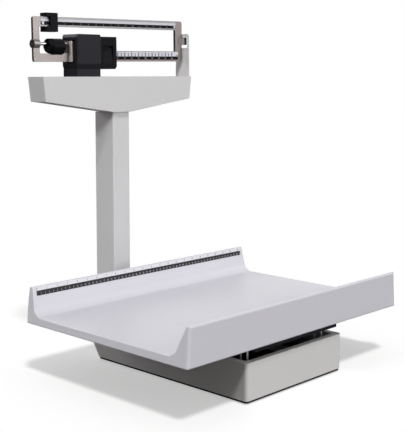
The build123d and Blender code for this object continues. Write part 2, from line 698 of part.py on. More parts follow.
# Levers in the base: two side bars joined by a cross bar, the long one with a nose to the column
def lever_bars(fulcrum_y, z, with_nose):
    """The lever's plan: side bars from its fulcrum end to the cross bar, and a nose if it has one."""
    outward = -1 if fulcrum_y < TRAY_Y else 1
    end_y = fulcrum_y + outward * LEVER_BAR / 2
    far_y = TRAY_Y - outward * LEVER_BAR / 2
    with BuildSketch(Plane.XY.offset(z - LEVER_HEIGHT / 2)) as plan:
        with Locations((0, (end_y + far_y) / 2)):
            with GridLocations(2 * LEVER_BAR_X, 0, 2, 1):
                Rectangle(LEVER_BAR, abs(end_y - far_y))
        with Locations((0, TRAY_Y)):
            Rectangle(2 * LEVER_BAR_X, LEVER_BAR)
        if with_nose:
            knee_y = TRAY_Y + LEVER_KNEE
            with BuildLine():
                Polyline(
                    (-LEVER_BAR_X - LEVER_BAR / 2, TRAY_Y),
                    (-LEVER_BAR / 2, knee_y),
                    (LEVER_BAR / 2, knee_y),
                    (LEVER_BAR_X + LEVER_BAR / 2, TRAY_Y),
                    (LEVER_BAR_X - LEVER_BAR / 2, TRAY_Y),
                    (0, knee_y - LEVER_BAR),
                    (-LEVER_BAR_X + LEVER_BAR / 2, TRAY_Y),
                    close=True,
                )
            make_face()
            with Locations((0, knee_y - LEVER_BAR)):
                Rectangle(
                    LEVER_BAR, BEAM_Y + LINK_WIDTH - knee_y + LEVER_BAR, align=(Align.CENTER, Align.MIN)
                )
    return plan.sketch


def lever_knives(fulcrum_y, load_y, z, spots):
    """Knife edges of a lever in the base: fulcrum edges, load edges, and ridges at the linked spots."""
    with BuildPart() as knives:
        for side in (-1, 1):
            inner = side * (LEVER_BAR_X - LEVER_BAR / 2)
            extrude(
                knife(side_plane(inner, fulcrum_y, z), point_up=False),
                amount=side * (KNIFE_END_X - abs(inner)),
            )
            extrude(
                knife(side_plane(inner, load_y, z), point_up=True),
                amount=side * (LEVER_PIVOT_X + BLOCK_WIDTH / 2 - abs(inner)),
            )
        for spot_y, spot_z, point_up in spots:
            extrude(knife(side_plane(0, spot_y, spot_z), point_up), amount=LINK_WIDTH, both=True)
    return knives.part


ridge = LEVER_HEIGHT / 2 + KNIFE_HEIGHT
long_lever_knives = lever_knives(
    FRONT_FULCRUM_Y,
    FRONT_LOAD_Y,
    LONG_LEVER_Z,
    ((TRAY_Y, LONG_LEVER_Z + ridge, True), (BEAM_Y, LONG_LEVER_Z - ridge, False)),
)
short_lever_knives = lever_knives(
    BACK_FULCRUM_Y, BACK_LOAD_Y, SHORT_LEVER_Z, ((TRAY_Y, SHORT_LEVER_Z - ridge, False),)
)

with BuildPart() as long_lever:
    extrude(lever_bars(FRONT_FULCRUM_Y, LONG_LEVER_Z, True), amount=LEVER_HEIGHT)
    add(long_lever_knives, mode=Mode.SUBTRACT)
long_lever.part.label = "long_lever"
export_step(long_lever.part, "parts/long_lever.step")

with BuildPart() as long_lever_pivots:
    add(long_lever_knives)
long_lever_pivots.part.label = "long_lever_pivots"
export_step(long_lever_pivots.part, "parts/long_lever_pivots.step")

with BuildPart() as short_lever:
    extrude(lever_bars(BACK_FULCRUM_Y, SHORT_LEVER_Z, False), amount=LEVER_HEIGHT)
    add(short_lever_knives, mode=Mode.SUBTRACT)
short_lever.part.label = "short_lever"
export_step(short_lever.part, "parts/short_lever.step")

with BuildPart() as short_lever_pivots:
    add(short_lever_knives)
short_lever_pivots.part.label = "short_lever_pivots"
export_step(short_lever_pivots.part, "parts/short_lever_pivots.step")


def loop_sketch(plane, low, high):
    """A closed loop's outline on a plane, its inside reaching from low to high."""
    with BuildSketch(plane) as loop:
        with Locations((0, (low + high) / 2)):
            RectangleRounded(LINK_INNER + 2 * LINK_WALL, high - low + 2 * LINK_WALL, LINK_WALL)
            RectangleRounded(LINK_INNER, high - low, LINK_CORNER, mode=Mode.SUBTRACT)
    return loop.sketch


# Lever link: a loop that hangs on the long lever's cross bar and carries the short lever's
with BuildPart() as lever_link:
    extrude(
        loop_sketch(
            side_plane(0, TRAY_Y, 0),
            SHORT_LEVER_Z - ridge - SEAT_GAP,
            LONG_LEVER_Z + ridge + SEAT_GAP,
        ),
        amount=LINK_WIDTH / 2,
        both=True,
    )
lever_link.part.label = "lever_link"
export_step(lever_link.part, "parts/lever_link.step")

# Draft rod: a loop round the long lever's nose, a rod up the column, a loop round the head lever
low_loop = (LONG_LEVER_Z - ridge - SEAT_GAP, LONG_LEVER_Z + LEVER_HEIGHT / 2 + LINK_PLAY)
head_ridge_z = HEAD_LEVER_Z + HEAD_LEVER_HEIGHT / 2 + KNIFE_HEIGHT
high_loop = (HEAD_LEVER_Z - HEAD_LEVER_HEIGHT / 2 - HEAD_LOOP_PLAY, head_ridge_z + SEAT_GAP)
with BuildPart() as draft_rod:
    extrude(loop_sketch(front_plane(0, BEAM_Y, 0), *low_loop), amount=LINK_WIDTH / 2, both=True)
    extrude(loop_sketch(side_plane(0, BEAM_Y, 0), *high_loop), amount=LINK_WIDTH / 2, both=True)
    with BuildSketch(Plane.XY.offset(low_loop[1] + LINK_WALL / 2)):
        with Locations((0, BEAM_Y)):
            Circle(ROD_RADIUS)
    extrude(amount=high_loop[0] - low_loop[1] - LINK_WALL)
draft_rod.part.label = "draft_rod"
export_step(draft_rod.part, "parts/draft_rod.step")

# Column bracket: a folded box that leaves the base's sloping back and holds the column's foot
with BuildPart() as column_bracket:
    with BuildSketch(Plane.XY.offset(BRACKET_BOTTOM_Z)):
        with Locations((0, BRACKET_Y)):
            RectangleRounded(BRACKET_WIDTH, BRACKET_BACK_Y - BRACKET_FRONT_Y, BRACKET_CORNER)
    extrude(amount=BRACKET_TOP_Z - BRACKET_BOTTOM_Z)
    with BuildSketch(Plane.XY.offset(BRACKET_BOTTOM_Z + BRACKET_SHEET)):
        with Locations((0, BRACKET_Y)):
            RectangleRounded(
                BRACKET_WIDTH - 2 * BRACKET_SHEET,
                BRACKET_BACK_Y - BRACKET_FRONT_Y - 2 * BRACKET_SHEET,
                BRACKET_CORNER - BRACKET_SHEET,
            )
    extrude(amount=BRACKET_TOP_Z - BRACKET_BOTTOM_Z - 2 * BRACKET_SHEET, mode=Mode.SUBTRACT)
    with BuildSketch(Plane.XY.offset(BRACKET_TOP_Z)):
        with Locations((0, COLUMN_Y)):
            RectangleRounded(COLUMN_WIDTH, COLUMN_DEPTH, COLUMN_CORNER)
    extrude(amount=-2 * BRACKET_SHEET, mode=Mode.SUBTRACT)
    loft(
        [base_outline(BASE_LIFT, BASE_BACK_Y, 0), base_outline(BASE_TOP_Z, BASE_TOP_BACK_Y, 0)],
        ruled=True,
        mode=Mode.SUBTRACT,
    )
    with BuildSketch(side_plane(0, COLUMN_Y, (BRACKET_BOTTOM_Z + BRACKET_TOP_Z) / 2)):
        with GridLocations(COLUMN_DEPTH / 2, (BRACKET_TOP_Z - BRACKET_BOTTOM_Z) / 2, 2, 2):
            Circle(BOLT_RADIUS)
    extrude(amount=BRACKET_WIDTH, both=True, mode=Mode.SUBTRACT)
    # Part of the top that would stand over the base's open top
    with BuildSketch(Plane.XY.offset(BASE_TOP_Z)):
        with Locations((0, BASE_TOP_BACK_Y)):
            Rectangle(2 * BRACKET_WIDTH, BRACKET_WIDTH * 2, align=(Align.CENTER, Align.MAX))
    extrude(amount=BRACKET_TOP_Z, mode=Mode.SUBTRACT)
    with BuildSketch(front_plane(0, BASE_TOP_BACK_Y, 0)):
        with Locations((0, (BASE_TOP_Z + BRACKET_TOP_Z) / 2)):
            Rectangle(BRACKET_WIDTH, BRACKET_TOP_Z - BASE_TOP_Z)
    extrude(amount=-BRACKET_SHEET)
column_bracket.part.label = "column_bracket"
export_step(column_bracket.part, "parts/column_bracket.step")

# Column: a square tube that stands on the bracket's floor and reaches the head's underside
COLUMN_BOTTOM_Z = BRACKET_BOTTOM_Z + BRACKET_SHEET
NOSE_SLOT_HALF = LEVER_BAR / 2 + LINK_PLAY
with BuildPart() as column:
    with BuildSketch(Plane.XY.offset(COLUMN_BOTTOM_Z)):
        with Locations((0, COLUMN_Y)):
            RectangleRounded(COLUMN_WIDTH, COLUMN_DEPTH, COLUMN_CORNER)
            RectangleRounded(
                COLUMN_WIDTH - 2 * SHEET,
                COLUMN_DEPTH - 2 * SHEET,
                COLUMN_CORNER - SHEET,
                mode=Mode.SUBTRACT,
            )
    extrude(amount=HEAD_BOTTOM_Z - COLUMN_BOTTOM_Z)
    with BuildSketch(front_plane(0, COLUMN_FRONT_Y + 2 * SHEET, LONG_LEVER_Z)):
        Rectangle(2 * NOSE_SLOT_HALF, LEVER_HEIGHT + 2 * LINK_PLAY)
    extrude(amount=4 * SHEET, mode=Mode.SUBTRACT)
    with BuildSketch(side_plane(0, COLUMN_Y, (BRACKET_BOTTOM_Z + BRACKET_TOP_Z) / 2)):
        with GridLocations(COLUMN_DEPTH / 2, (BRACKET_TOP_Z - BRACKET_BOTTOM_Z) / 2, 2, 2):
            Circle(BOLT_RADIUS)
    extrude(amount=BRACKET_WIDTH, both=True, mode=Mode.SUBTRACT)
    with BuildSketch(front_plane(0, COLUMN_Y, HEAD_BOTTOM_Z - PLUG_HEIGHT / 2)):
        with GridLocations(COLUMN_WIDTH / 2, 0, 2, 1):
            Circle(BOLT_RADIUS)
    extrude(amount=-COLUMN_DEPTH, mode=Mode.SUBTRACT)
column.part.label = "column"
export_step(column.part, "parts/column.step")

# Spacer tubes and bolts that clamp the bracket to the column's sides
bracket_gap = (BRACKET_WIDTH - 2 * BRACKET_SHEET - COLUMN_WIDTH) / 2
with BuildPart() as bracket_spacers:
    for side in (-1, 1):
        with BuildSketch(
            side_plane(side * COLUMN_WIDTH / 2, COLUMN_Y, (BRACKET_BOTTOM_Z + BRACKET_TOP_Z) / 2)
        ):
            with GridLocations(COLUMN_DEPTH / 2, (BRACKET_TOP_Z - BRACKET_BOTTOM_Z) / 2, 2, 2):
                Circle(BOLT_HEAD_RADIUS)
                Circle(BOLT_RADIUS, mode=Mode.SUBTRACT)
        extrude(amount=side * bracket_gap)
bracket_spacers.part.label = "bracket_spacers"
export_step(bracket_spacers.part, "parts/bracket_spacers.step")

with BuildPart() as bracket_bolts:
    for side in (-1, 1):
        with BuildSketch(
            side_plane(side * BRACKET_WIDTH / 2, COLUMN_Y, (BRACKET_BOTTOM_Z + BRACKET_TOP_Z) / 2)
        ):
            with GridLocations(COLUMN_DEPTH / 2, (BRACKET_TOP_Z - BRACKET_BOTTOM_Z) / 2, 2, 2):
                Circle(BOLT_RADIUS)
        extrude(amount=-side * (bracket_gap + BRACKET_SHEET + 2 * SHEET))
        with BuildSketch(
            side_plane(side * BRACKET_WIDTH / 2, COLUMN_Y, (BRACKET_BOTTOM_Z + BRACKET_TOP_Z) / 2)
        ):
            with GridLocations(COLUMN_DEPTH / 2, (BRACKET_TOP_Z - BRACKET_BOTTOM_Z) / 2, 2, 2):
                Circle(BOLT_HEAD_RADIUS)
        extrude(amount=side * BOLT_HEAD)
bracket_bolts.part.label = "bracket_bolts"
export_step(bracket_bolts.part, "parts/bracket_bolts.step")

# Plug in the column's top end: it carries the head
with BuildPart() as column_plug:
    with BuildSketch(Plane.XY.offset(HEAD_BOTTOM_Z)):
        with Locations((0, COLUMN_Y)):
            RectangleRounded(
                COLUMN_WIDTH - 2 * SHEET - SEAT_GAP,
                COLUMN_DEPTH - 2 * SHEET - SEAT_GAP,
                COLUMN_CORNER - SHEET,
            )
    extrude(amount=-PLUG_HEIGHT)
    with BuildSketch(Plane.XY.offset(HEAD_BOTTOM_Z - PLUG_WALL)):
        with Locations((0, COLUMN_Y)):
            Rectangle(
                COLUMN_WIDTH - 2 * SHEET - 2 * PLUG_WALL,
                COLUMN_DEPTH - 2 * SHEET - 2 * PLUG_WALL,
            )
    extrude(amount=-PLUG_HEIGHT, mode=Mode.SUBTRACT)
    with BuildSketch(Plane.XY.offset(HEAD_BOTTOM_Z)):
        with Locations((0, BEAM_Y)):
            Circle(ROD_HOLE_RADIUS)
            with GridLocations(2 * HEAD_BOLT_X, 2 * HEAD_BOLT_Y, 2, 2):
                Circle(BOLT_RADIUS)
    extrude(amount=-2 * PLUG_WALL, mode=Mode.SUBTRACT)
    with BuildSketch(front_plane(0, COLUMN_Y, HEAD_BOTTOM_Z - PLUG_HEIGHT / 2)):
        with GridLocations(COLUMN_WIDTH / 2, 0, 2, 1):
            Circle(BOLT_RADIUS)
    extrude(amount=-COLUMN_DEPTH, mode=Mode.SUBTRACT)
column_plug.part.label = "column_plug"
export_step(column_plug.part, "parts/column_plug.step")

# Screws through the column's back wall that hold the plug
with BuildPart() as column_screws:
    with BuildSketch(front_plane(0, COLUMN_Y + COLUMN_DEPTH / 2, HEAD_BOTTOM_Z - PLUG_HEIGHT / 2)):
        with GridLocations(COLUMN_WIDTH / 2, 0, 2, 1):
            Circle(BOLT_RADIUS)
    extrude(amount=SHEET + PLUG_WALL)
    with BuildSketch(front_plane(0, COLUMN_Y + COLUMN_DEPTH / 2, HEAD_BOTTOM_Z - PLUG_HEIGHT / 2)):
        with GridLocations(COLUMN_WIDTH / 2, 0, 2, 1):
            Circle(SCREW_HEAD_RATIO * BOLT_RADIUS)
    extrude(amount=-SHEET)
column_screws.part.label = "column_screws"
export_step(column_screws.part, "parts/column_screws.step")


# Head housing: a folded boat shape, open on top, its floor rising from the column to both ends
end_slope = HEAD_END_DRAFT / (HEAD_TOP_Z - HEAD_END_Z)
end_wall = Plane(
    origin=(HEAD_TOP_HALF - end_slope * (HEAD_TOP_Z - TRIG_RIVET_Z), BEAM_Y, TRIG_RIVET_Z),
    x_dir=(0, 1, 0),
    z_dir=(1, 0, -end_slope),
)


def head_outline(inset):
    """The housing's front view, drawn inward by inset except at the open top."""
    with BuildSketch(front_plane(0, HEAD_Y, 0)) as outline:
        with BuildLine():
            Polyline(
                (HEAD_TOP_HALF - inset, HEAD_TOP_Z),
                (HEAD_END_HALF - inset + end_slope * inset, HEAD_END_Z + inset),
                (HEAD_FLAT_HALF, HEAD_BOTTOM_Z + inset),
                (-HEAD_FLAT_HALF, HEAD_BOTTOM_Z + inset),
                (-HEAD_END_HALF + inset - end_slope * inset, HEAD_END_Z + inset),
                (-HEAD_TOP_HALF + inset, HEAD_TOP_Z),
                close=True,
            )
        make_face()
    return outline.sketch


with BuildPart() as head_housing:
    extrude(head_outline(0), amount=HEAD_DEPTH / 2, both=True)
    end_edges = head_housing.edges().filter_by(lambda e: abs(e.center().X) > HEAD_END_HALF)
    fillet(end_edges.filter_by(lambda e: e.bounding_box().size.Y < SLIDE_GAP), radius=HEAD_CORNER)
    extrude(head_outline(SHEET), amount=HEAD_DEPTH / 2 - SHEET, both=True, mode=Mode.SUBTRACT)
    with BuildSketch(Plane.XY.offset(HEAD_BOTTOM_Z)):
        with Locations((0, BEAM_Y)):
            Circle(ROD_HOLE_RADIUS)
            with GridLocations(2 * HEAD_BOLT_X, 2 * HEAD_BOLT_Y, 2, 2):
                Circle(BOLT_RADIUS)
    extrude(amount=2 * SHEET, mode=Mode.SUBTRACT)
    with BuildSketch(end_wall):
        with GridLocations(2 * TRIG_RIVET_Y, 0, 2, 1):
            Circle(TRIG_RIVET_RADIUS)
    extrude(amount=-2 * SHEET, mode=Mode.SUBTRACT)
head_housing.part.label = "head_housing"
export_step(head_housing.part, "parts/head_housing.step")

# Chassis bar on four spacer tubes over the housing's floor
with BuildPart() as chassis_spacers:
    with BuildSketch(Plane.XY.offset(HEAD_BOTTOM_Z + SHEET)):
        with Locations((0, BEAM_Y)):
            with GridLocations(2 * HEAD_BOLT_X, 2 * HEAD_BOLT_Y, 2, 2):
                Circle(SPACER_RADIUS)
                Circle(BOLT_RADIUS, mode=Mode.SUBTRACT)
    extrude(amount=CHASSIS_Z - HEAD_BOTTOM_Z - SHEET)
chassis_spacers.part.label = "chassis_spacers"
export_step(chassis_spacers.part, "parts/chassis_spacers.step")

with BuildPart() as head_bolts:
    with BuildSketch(Plane.XY.offset(CHASSIS_TOP_Z)):
        with Locations((0, BEAM_Y)):
            with GridLocations(2 * HEAD_BOLT_X, 2 * HEAD_BOLT_Y, 2, 2):
                Circle(BOLT_RADIUS)
    extrude(amount=HEAD_BOTTOM_Z - PLUG_WALL - BOLT_TAIL - CHASSIS_TOP_Z)
    with BuildSketch(Plane.XY.offset(CHASSIS_TOP_Z)):
        with Locations((0, BEAM_Y)):
            with GridLocations(2 * HEAD_BOLT_X, 2 * HEAD_BOLT_Y, 2, 2):
                Circle(SCREW_HEAD_RATIO * BOLT_RADIUS)
    extrude(amount=BOLT_HEAD)
head_bolts.part.label = "head_bolts"
export_step(head_bolts.part, "parts/head_bolts.step")

SCREW_SPOTS = [
    (x, BEAM_Y + side * y)
    for x, y in (
        (PEDESTAL_LEFT + PEDESTAL_SIDE / 2, PEDESTAL_SCREW_LEFT),
        (PEDESTAL_RIGHT - PEDESTAL_SIDE / 2, PEDESTAL_SCREW_RIGHT),
        (FULCRUM_X, PILLAR_INNER + PILLAR_THICKNESS / 2),
        (HEAD_LEVER_FULCRUM_X, PILLAR_INNER - PILLAR_THICKNESS / 2),
    )
    for side in (-1, 1)
]
with BuildPart() as head_chassis:
    with BuildSketch(Plane.XY.offset(CHASSIS_Z)):
        with Locations(((CHASSIS_LEFT + CHASSIS_RIGHT) / 2, BEAM_Y)):
            RectangleRounded(CHASSIS_RIGHT - CHASSIS_LEFT, CHASSIS_WIDTH, CHASSIS_CORNER)
        with Locations((0, BEAM_Y)):
            Circle(ROD_HOLE_RADIUS, mode=Mode.SUBTRACT)
            with GridLocations(2 * HEAD_BOLT_X, 2 * HEAD_BOLT_Y, 2, 2):
                Circle(BOLT_RADIUS, mode=Mode.SUBTRACT)
        with Locations(*SCREW_SPOTS):
            Circle(CHASSIS_SCREW_RADIUS, mode=Mode.SUBTRACT)
    extrude(amount=CHASSIS_THICKNESS)
head_chassis.part.label = "head_chassis"
export_step(head_chassis.part, "parts/head_chassis.step")

with BuildPart() as chassis_screws:
    with BuildSketch(Plane.XY.offset(CHASSIS_Z)):
        with Locations(*SCREW_SPOTS):
            Circle(CHASSIS_SCREW_RADIUS)
    extrude(amount=CHASSIS_THICKNESS + CHASSIS_SCREW_DEPTH)
    with BuildSketch(Plane.XY.offset(CHASSIS_Z)):
        with Locations(*SCREW_SPOTS):
            Circle(SCREW_HEAD_RATIO * CHASSIS_SCREW_RADIUS)
    extrude(amount=-CHASSIS_SCREW_RADIUS)
chassis_screws.part.label = "chassis_screws"
export_step(chassis_screws.part, "parts/chassis_screws.step")

# Head lever's fulcrum stand: a fork with a V on each cheek
with BuildPart() as head_lever_stand:
    fork_outer = PILLAR_INNER
    fork_inner = PILLAR_INNER - PILLAR_THICKNESS
    with BuildSketch(front_plane(HEAD_LEVER_FULCRUM_X, BEAM_Y, HEAD_LEVER_Z - SEAT_GAP)):
        with BuildLine():
            fork_foot = CHASSIS_TOP_Z - HEAD_LEVER_Z + SEAT_GAP
            Polyline(
                (0, 0),
                (V_DEPTH, V_DEPTH),
                (PILLAR_WIDTH / 2, V_DEPTH),
                (PILLAR_WIDTH / 2, fork_foot),
                (-PILLAR_WIDTH / 2, fork_foot),
                (-PILLAR_WIDTH / 2, V_DEPTH),
                (-V_DEPTH, V_DEPTH),
                close=True,
            )
        make_face()
    extrude(amount=fork_outer, both=True)
    with BuildSketch(Plane.XY.offset(CHASSIS_TOP_Z + STAND_FOOT)):
        with Locations((HEAD_LEVER_FULCRUM_X, BEAM_Y)):
            Rectangle(2 * PILLAR_WIDTH, 2 * fork_inner)
    extrude(amount=HEAD_LEVER_Z, mode=Mode.SUBTRACT)
    with BuildSketch(Plane.XY.offset(CHASSIS_TOP_Z)):
        with Locations(*SCREW_SPOTS[-2:]):
            Circle(CHASSIS_SCREW_RADIUS)
    extrude(amount=CHASSIS_SCREW_DEPTH, mode=Mode.SUBTRACT)
head_lever_stand.part.label = "head_lever_stand"
export_step(head_lever_stand.part, "parts/head_lever_stand.step")

# Beam stand: two pillars on one foot, each with a V for the beam's fulcrum edge
with BuildPart() as beam_stand:
    with BuildSketch(front_plane(FULCRUM_X, BEAM_Y, FULCRUM_Z - SEAT_GAP)):
        with BuildLine():
            pillar_foot = CHASSIS_TOP_Z - FULCRUM_Z + SEAT_GAP
            Polyline(
                (0, 0),
                (V_DEPTH, V_DEPTH),
                (PILLAR_WIDTH / 2, V_DEPTH),
                (PILLAR_WIDTH / 2, pillar_foot),
                (-PILLAR_WIDTH / 2, pillar_foot),
                (-PILLAR_WIDTH / 2, V_DEPTH),
                (-V_DEPTH, V_DEPTH),
                close=True,
            )
        make_face()
    extrude(amount=PILLAR_INNER + PILLAR_THICKNESS, both=True)
    with BuildSketch(Plane.XY.offset(CHASSIS_TOP_Z + STAND_FOOT)):
        with Locations((FULCRUM_X, BEAM_Y)):
            Rectangle(2 * PILLAR_WIDTH, 2 * PILLAR_INNER)
    extrude(amount=FULCRUM_Z, mode=Mode.SUBTRACT)
    with BuildSketch(Plane.XY.offset(CHASSIS_TOP_Z)):
        with Locations(*SCREW_SPOTS[4:6]):
            Circle(CHASSIS_SCREW_RADIUS)
    extrude(amount=CHASSIS_SCREW_DEPTH, mode=Mode.SUBTRACT)
beam_stand.part.label = "beam_stand"
export_step(beam_stand.part, "parts/beam_stand.step")

# Head lever: a bar from its fulcrum past the draft rod to the beam link
HEAD_LEVER_LEFT = LINK_X - HEAD_LEVER_LINK_END
HEAD_LEVER_RIGHT = HEAD_LEVER_FULCRUM_X + HEAD_LEVER_END
with BuildPart() as head_lever_pivots:
    extrude(
        knife(front_plane(HEAD_LEVER_FULCRUM_X, BEAM_Y, HEAD_LEVER_Z), point_up=False),
        amount=PILLAR_INNER,
        both=True,
    )
    extrude(
        knife(front_plane(LINK_X, BEAM_Y, HEAD_LEVER_Z), point_up=False),
        amount=PILLAR_INNER + STRAP_THICKNESS + KNIFE_OVERHANG,
        both=True,
    )
    extrude(
        knife(front_plane(0, BEAM_Y, head_ridge_z), point_up=True),
        amount=HEAD_LEVER_THICKNESS / 2,
        both=True,
    )
head_lever_pivots.part.label = "head_lever_pivots"
export_step(head_lever_pivots.part, "parts/head_lever_pivots.step")

with BuildPart() as head_lever:
    with BuildSketch(front_plane(0, BEAM_Y, HEAD_LEVER_Z)):
        with Locations(((HEAD_LEVER_LEFT + HEAD_LEVER_RIGHT) / 2, 0)):
            RectangleRounded(HEAD_LEVER_RIGHT - HEAD_LEVER_LEFT, HEAD_LEVER_HEIGHT, HEAD_LEVER_CORNER)
    extrude(amount=HEAD_LEVER_THICKNESS / 2, both=True)
    add(head_lever_pivots.part, mode=Mode.SUBTRACT)
head_lever.part.label = "head_lever"
export_step(head_lever.part, "parts/head_lever.step")

# Beam link: two straps with a window over each knife edge, joined by a cross pin
with BuildPart() as beam_link:
    for side in (-1, 1):
        strap_y = BEAM_Y + side * (PILLAR_INNER + STRAP_THICKNESS / 2)
        with BuildSketch(front_plane(LINK_X, strap_y, 0)):
            with Locations((0, (HEAD_LEVER_Z + FULCRUM_Z) / 2)):
                RectangleRounded(STRAP_WIDTH, FULCRUM_Z - HEAD_LEVER_Z + 2 * STRAP_END, STRAP_CORNER)
            window = 2 * KNIFE_HALF + 2 * SLIDE_GAP
            window_height = KNIFE_HEIGHT + LINK_PLAY / 2
            with Locations((0, FULCRUM_Z + SEAT_GAP)):
                Rectangle(window, window_height, align=(Align.CENTER, Align.MAX), mode=Mode.SUBTRACT)
            with Locations((0, HEAD_LEVER_Z - SEAT_GAP)):
                Rectangle(window, window_height, align=(Align.CENTER, Align.MIN), mode=Mode.SUBTRACT)
        extrude(amount=STRAP_THICKNESS / 2, both=True)
    with BuildSketch(front_plane(LINK_X, BEAM_Y, (HEAD_LEVER_Z + FULCRUM_Z) / 2)):
        Circle(ROD_RADIUS)
    extrude(amount=PILLAR_INNER, both=True)
beam_link.part.label = "beam_link"
export_step(beam_link.part, "parts/beam_link.step")

# Pedestal: a square tube on the chassis that carries the hood
with BuildPart() as beam_pedestal:
    with BuildSketch(Plane.XY.offset(CHASSIS_TOP_Z)):
        with Locations(((PEDESTAL_LEFT + PEDESTAL_RIGHT) / 2, BEAM_Y)):
            RectangleRounded(PEDESTAL_RIGHT - PEDESTAL_LEFT, 2 * PEDESTAL_HALF, PEDESTAL_SHEET)
            Rectangle(
                PEDESTAL_RIGHT - PEDESTAL_LEFT - 2 * PEDESTAL_SIDE,
                2 * (PEDESTAL_HALF - PEDESTAL_SHEET),
                mode=Mode.SUBTRACT,
            )
    extrude(amount=HOOD_BOTTOM_Z - CHASSIS_TOP_Z)
    with BuildSketch(side_plane(PEDESTAL_RIGHT, BEAM_Y, CHASSIS_TOP_Z)):
        Rectangle(
            2 * LEVER_SLOT_HALF, LEVER_SLOT_TOP_Z - CHASSIS_TOP_Z, align=(Align.CENTER, Align.MIN)
        )
    extrude(amount=-PEDESTAL_SIDE, mode=Mode.SUBTRACT)
    with BuildSketch(Plane.XY.offset(CHASSIS_TOP_Z)):
        with Locations(*SCREW_SPOTS[:4]):
            Circle(CHASSIS_SCREW_RADIUS)
    extrude(amount=CHASSIS_SCREW_DEPTH, mode=Mode.SUBTRACT)
beam_pedestal.part.label = "beam_pedestal"
export_step(beam_pedestal.part, "parts/beam_pedestal.step")


# Hood over the beam's fulcrum: its foot tapers in to the pedestal, its ends are open for the beam
def hood_form(inset, bottom_z):
    """The hood's block drawn inward by inset, from a height up to its chamfered top."""
    flare_z = HOOD_BOTTOM_Z + HOOD_FLARE
    foot_in = inset + HOOD_FLARE_IN * (flare_z - bottom_z) / HOOD_FLARE
    slant = (HOOD_CHAMFER**2 + HOOD_CHAMFER_DROP**2) ** 0.5
    chamfer_in = HOOD_CHAMFER + (slant - HOOD_CHAMFER) * inset / HOOD_CHAMFER_DROP
    chamfer_z = HOOD_TOP_Z - HOOD_CHAMFER_DROP - (slant - HOOD_CHAMFER_DROP) * inset / HOOD_CHAMFER
    top_z = HOOD_TOP_Z - inset
    with BuildPart() as form:
        with BuildSketch(front_plane(0, BEAM_Y, 0)):
            with BuildLine():
                Polyline(
                    (HOOD_LEFT + foot_in, bottom_z),
                    (HOOD_RIGHT - foot_in, bottom_z),
                    (HOOD_RIGHT - inset, flare_z),
                    (HOOD_RIGHT - inset, chamfer_z),
                    (HOOD_RIGHT - chamfer_in, top_z),
                    (HOOD_LEFT + chamfer_in, top_z),
                    (HOOD_LEFT + inset, chamfer_z),
                    (HOOD_LEFT + inset, flare_z),
                    close=True,
                )
            make_face()
        extrude(amount=HOOD_HALF, both=True)
        with BuildSketch(side_plane(HOOD_LEFT, BEAM_Y, 0)):
            with BuildLine():
                Polyline(
                    (-HOOD_HALF + foot_in, bottom_z),
                    (HOOD_HALF - foot_in, bottom_z),
                    (HOOD_HALF - inset, flare_z),
                    (HOOD_HALF - inset, top_z),
                    (-HOOD_HALF + inset, top_z),
                    (-HOOD_HALF + inset, flare_z),
                    close=True,
                )
            make_face()
        extrude(amount=HOOD_RIGHT - HOOD_LEFT, mode=Mode.INTERSECT)
    return form.part


hood_block = hood_form(0, HOOD_BOTTOM_Z)
hood_hollow = hood_form(HOOD_SHEET, HOOD_BOTTOM_Z + HOOD_SHEET)
hood_x = (HOOD_LEFT + HOOD_RIGHT) / 2
rim_length = PEDESTAL_RIGHT - PEDESTAL_LEFT - 2 * PEDESTAL_SIDE - 2 * SEAT_GAP
rim_width = 2 * (PEDESTAL_HALF - PEDESTAL_SHEET - SEAT_GAP)
with BuildPart() as fulcrum_hood:
    add(hood_block)
    with BuildSketch(Plane.XY.offset(HOOD_BOTTOM_Z)):
        with Locations((hood_x, BEAM_Y)):
            Rectangle(HOOD_RIGHT - HOOD_LEFT, 2 * HOOD_HALF)
        chamfer(vertices(), length=HOOD_EDGE)
    extrude(amount=HOOD_TOP_Z - HOOD_BOTTOM_Z, mode=Mode.INTERSECT)
    with BuildSketch(Plane.XY.offset(HOOD_BOTTOM_Z)):
        with Locations(((PEDESTAL_LEFT + PEDESTAL_RIGHT) / 2, BEAM_Y)):
            Rectangle(rim_length, rim_width)
    extrude(amount=-RIM_DEPTH)
    add(hood_hollow, mode=Mode.SUBTRACT)
    with BuildSketch(Plane.XY.offset(HOOD_BOTTOM_Z - RIM_DEPTH)):
        with Locations(((PEDESTAL_LEFT + PEDESTAL_RIGHT) / 2, BEAM_Y)):
            Rectangle(rim_length - 2 * RIM_WALL, rim_width - 2 * RIM_WALL)
    extrude(amount=RIM_DEPTH + HOOD_SHEET, mode=Mode.SUBTRACT)
    with BuildSketch(side_plane(HOOD_LEFT, BEAM_Y, 0)):
        with Locations((0, (HOOD_WINDOW_BOTTOM_Z + HOOD_WINDOW_TOP_Z) / 2)):
            Rectangle(2 * HOOD_WINDOW_HALF, HOOD_WINDOW_TOP_Z - HOOD_WINDOW_BOTTOM_Z)
    extrude(amount=HOOD_RIGHT - HOOD_LEFT, mode=Mode.SUBTRACT)
fulcrum_hood.part.label = "fulcrum_hood"
export_step(fulcrum_hood.part, "parts/fulcrum_hood.step")

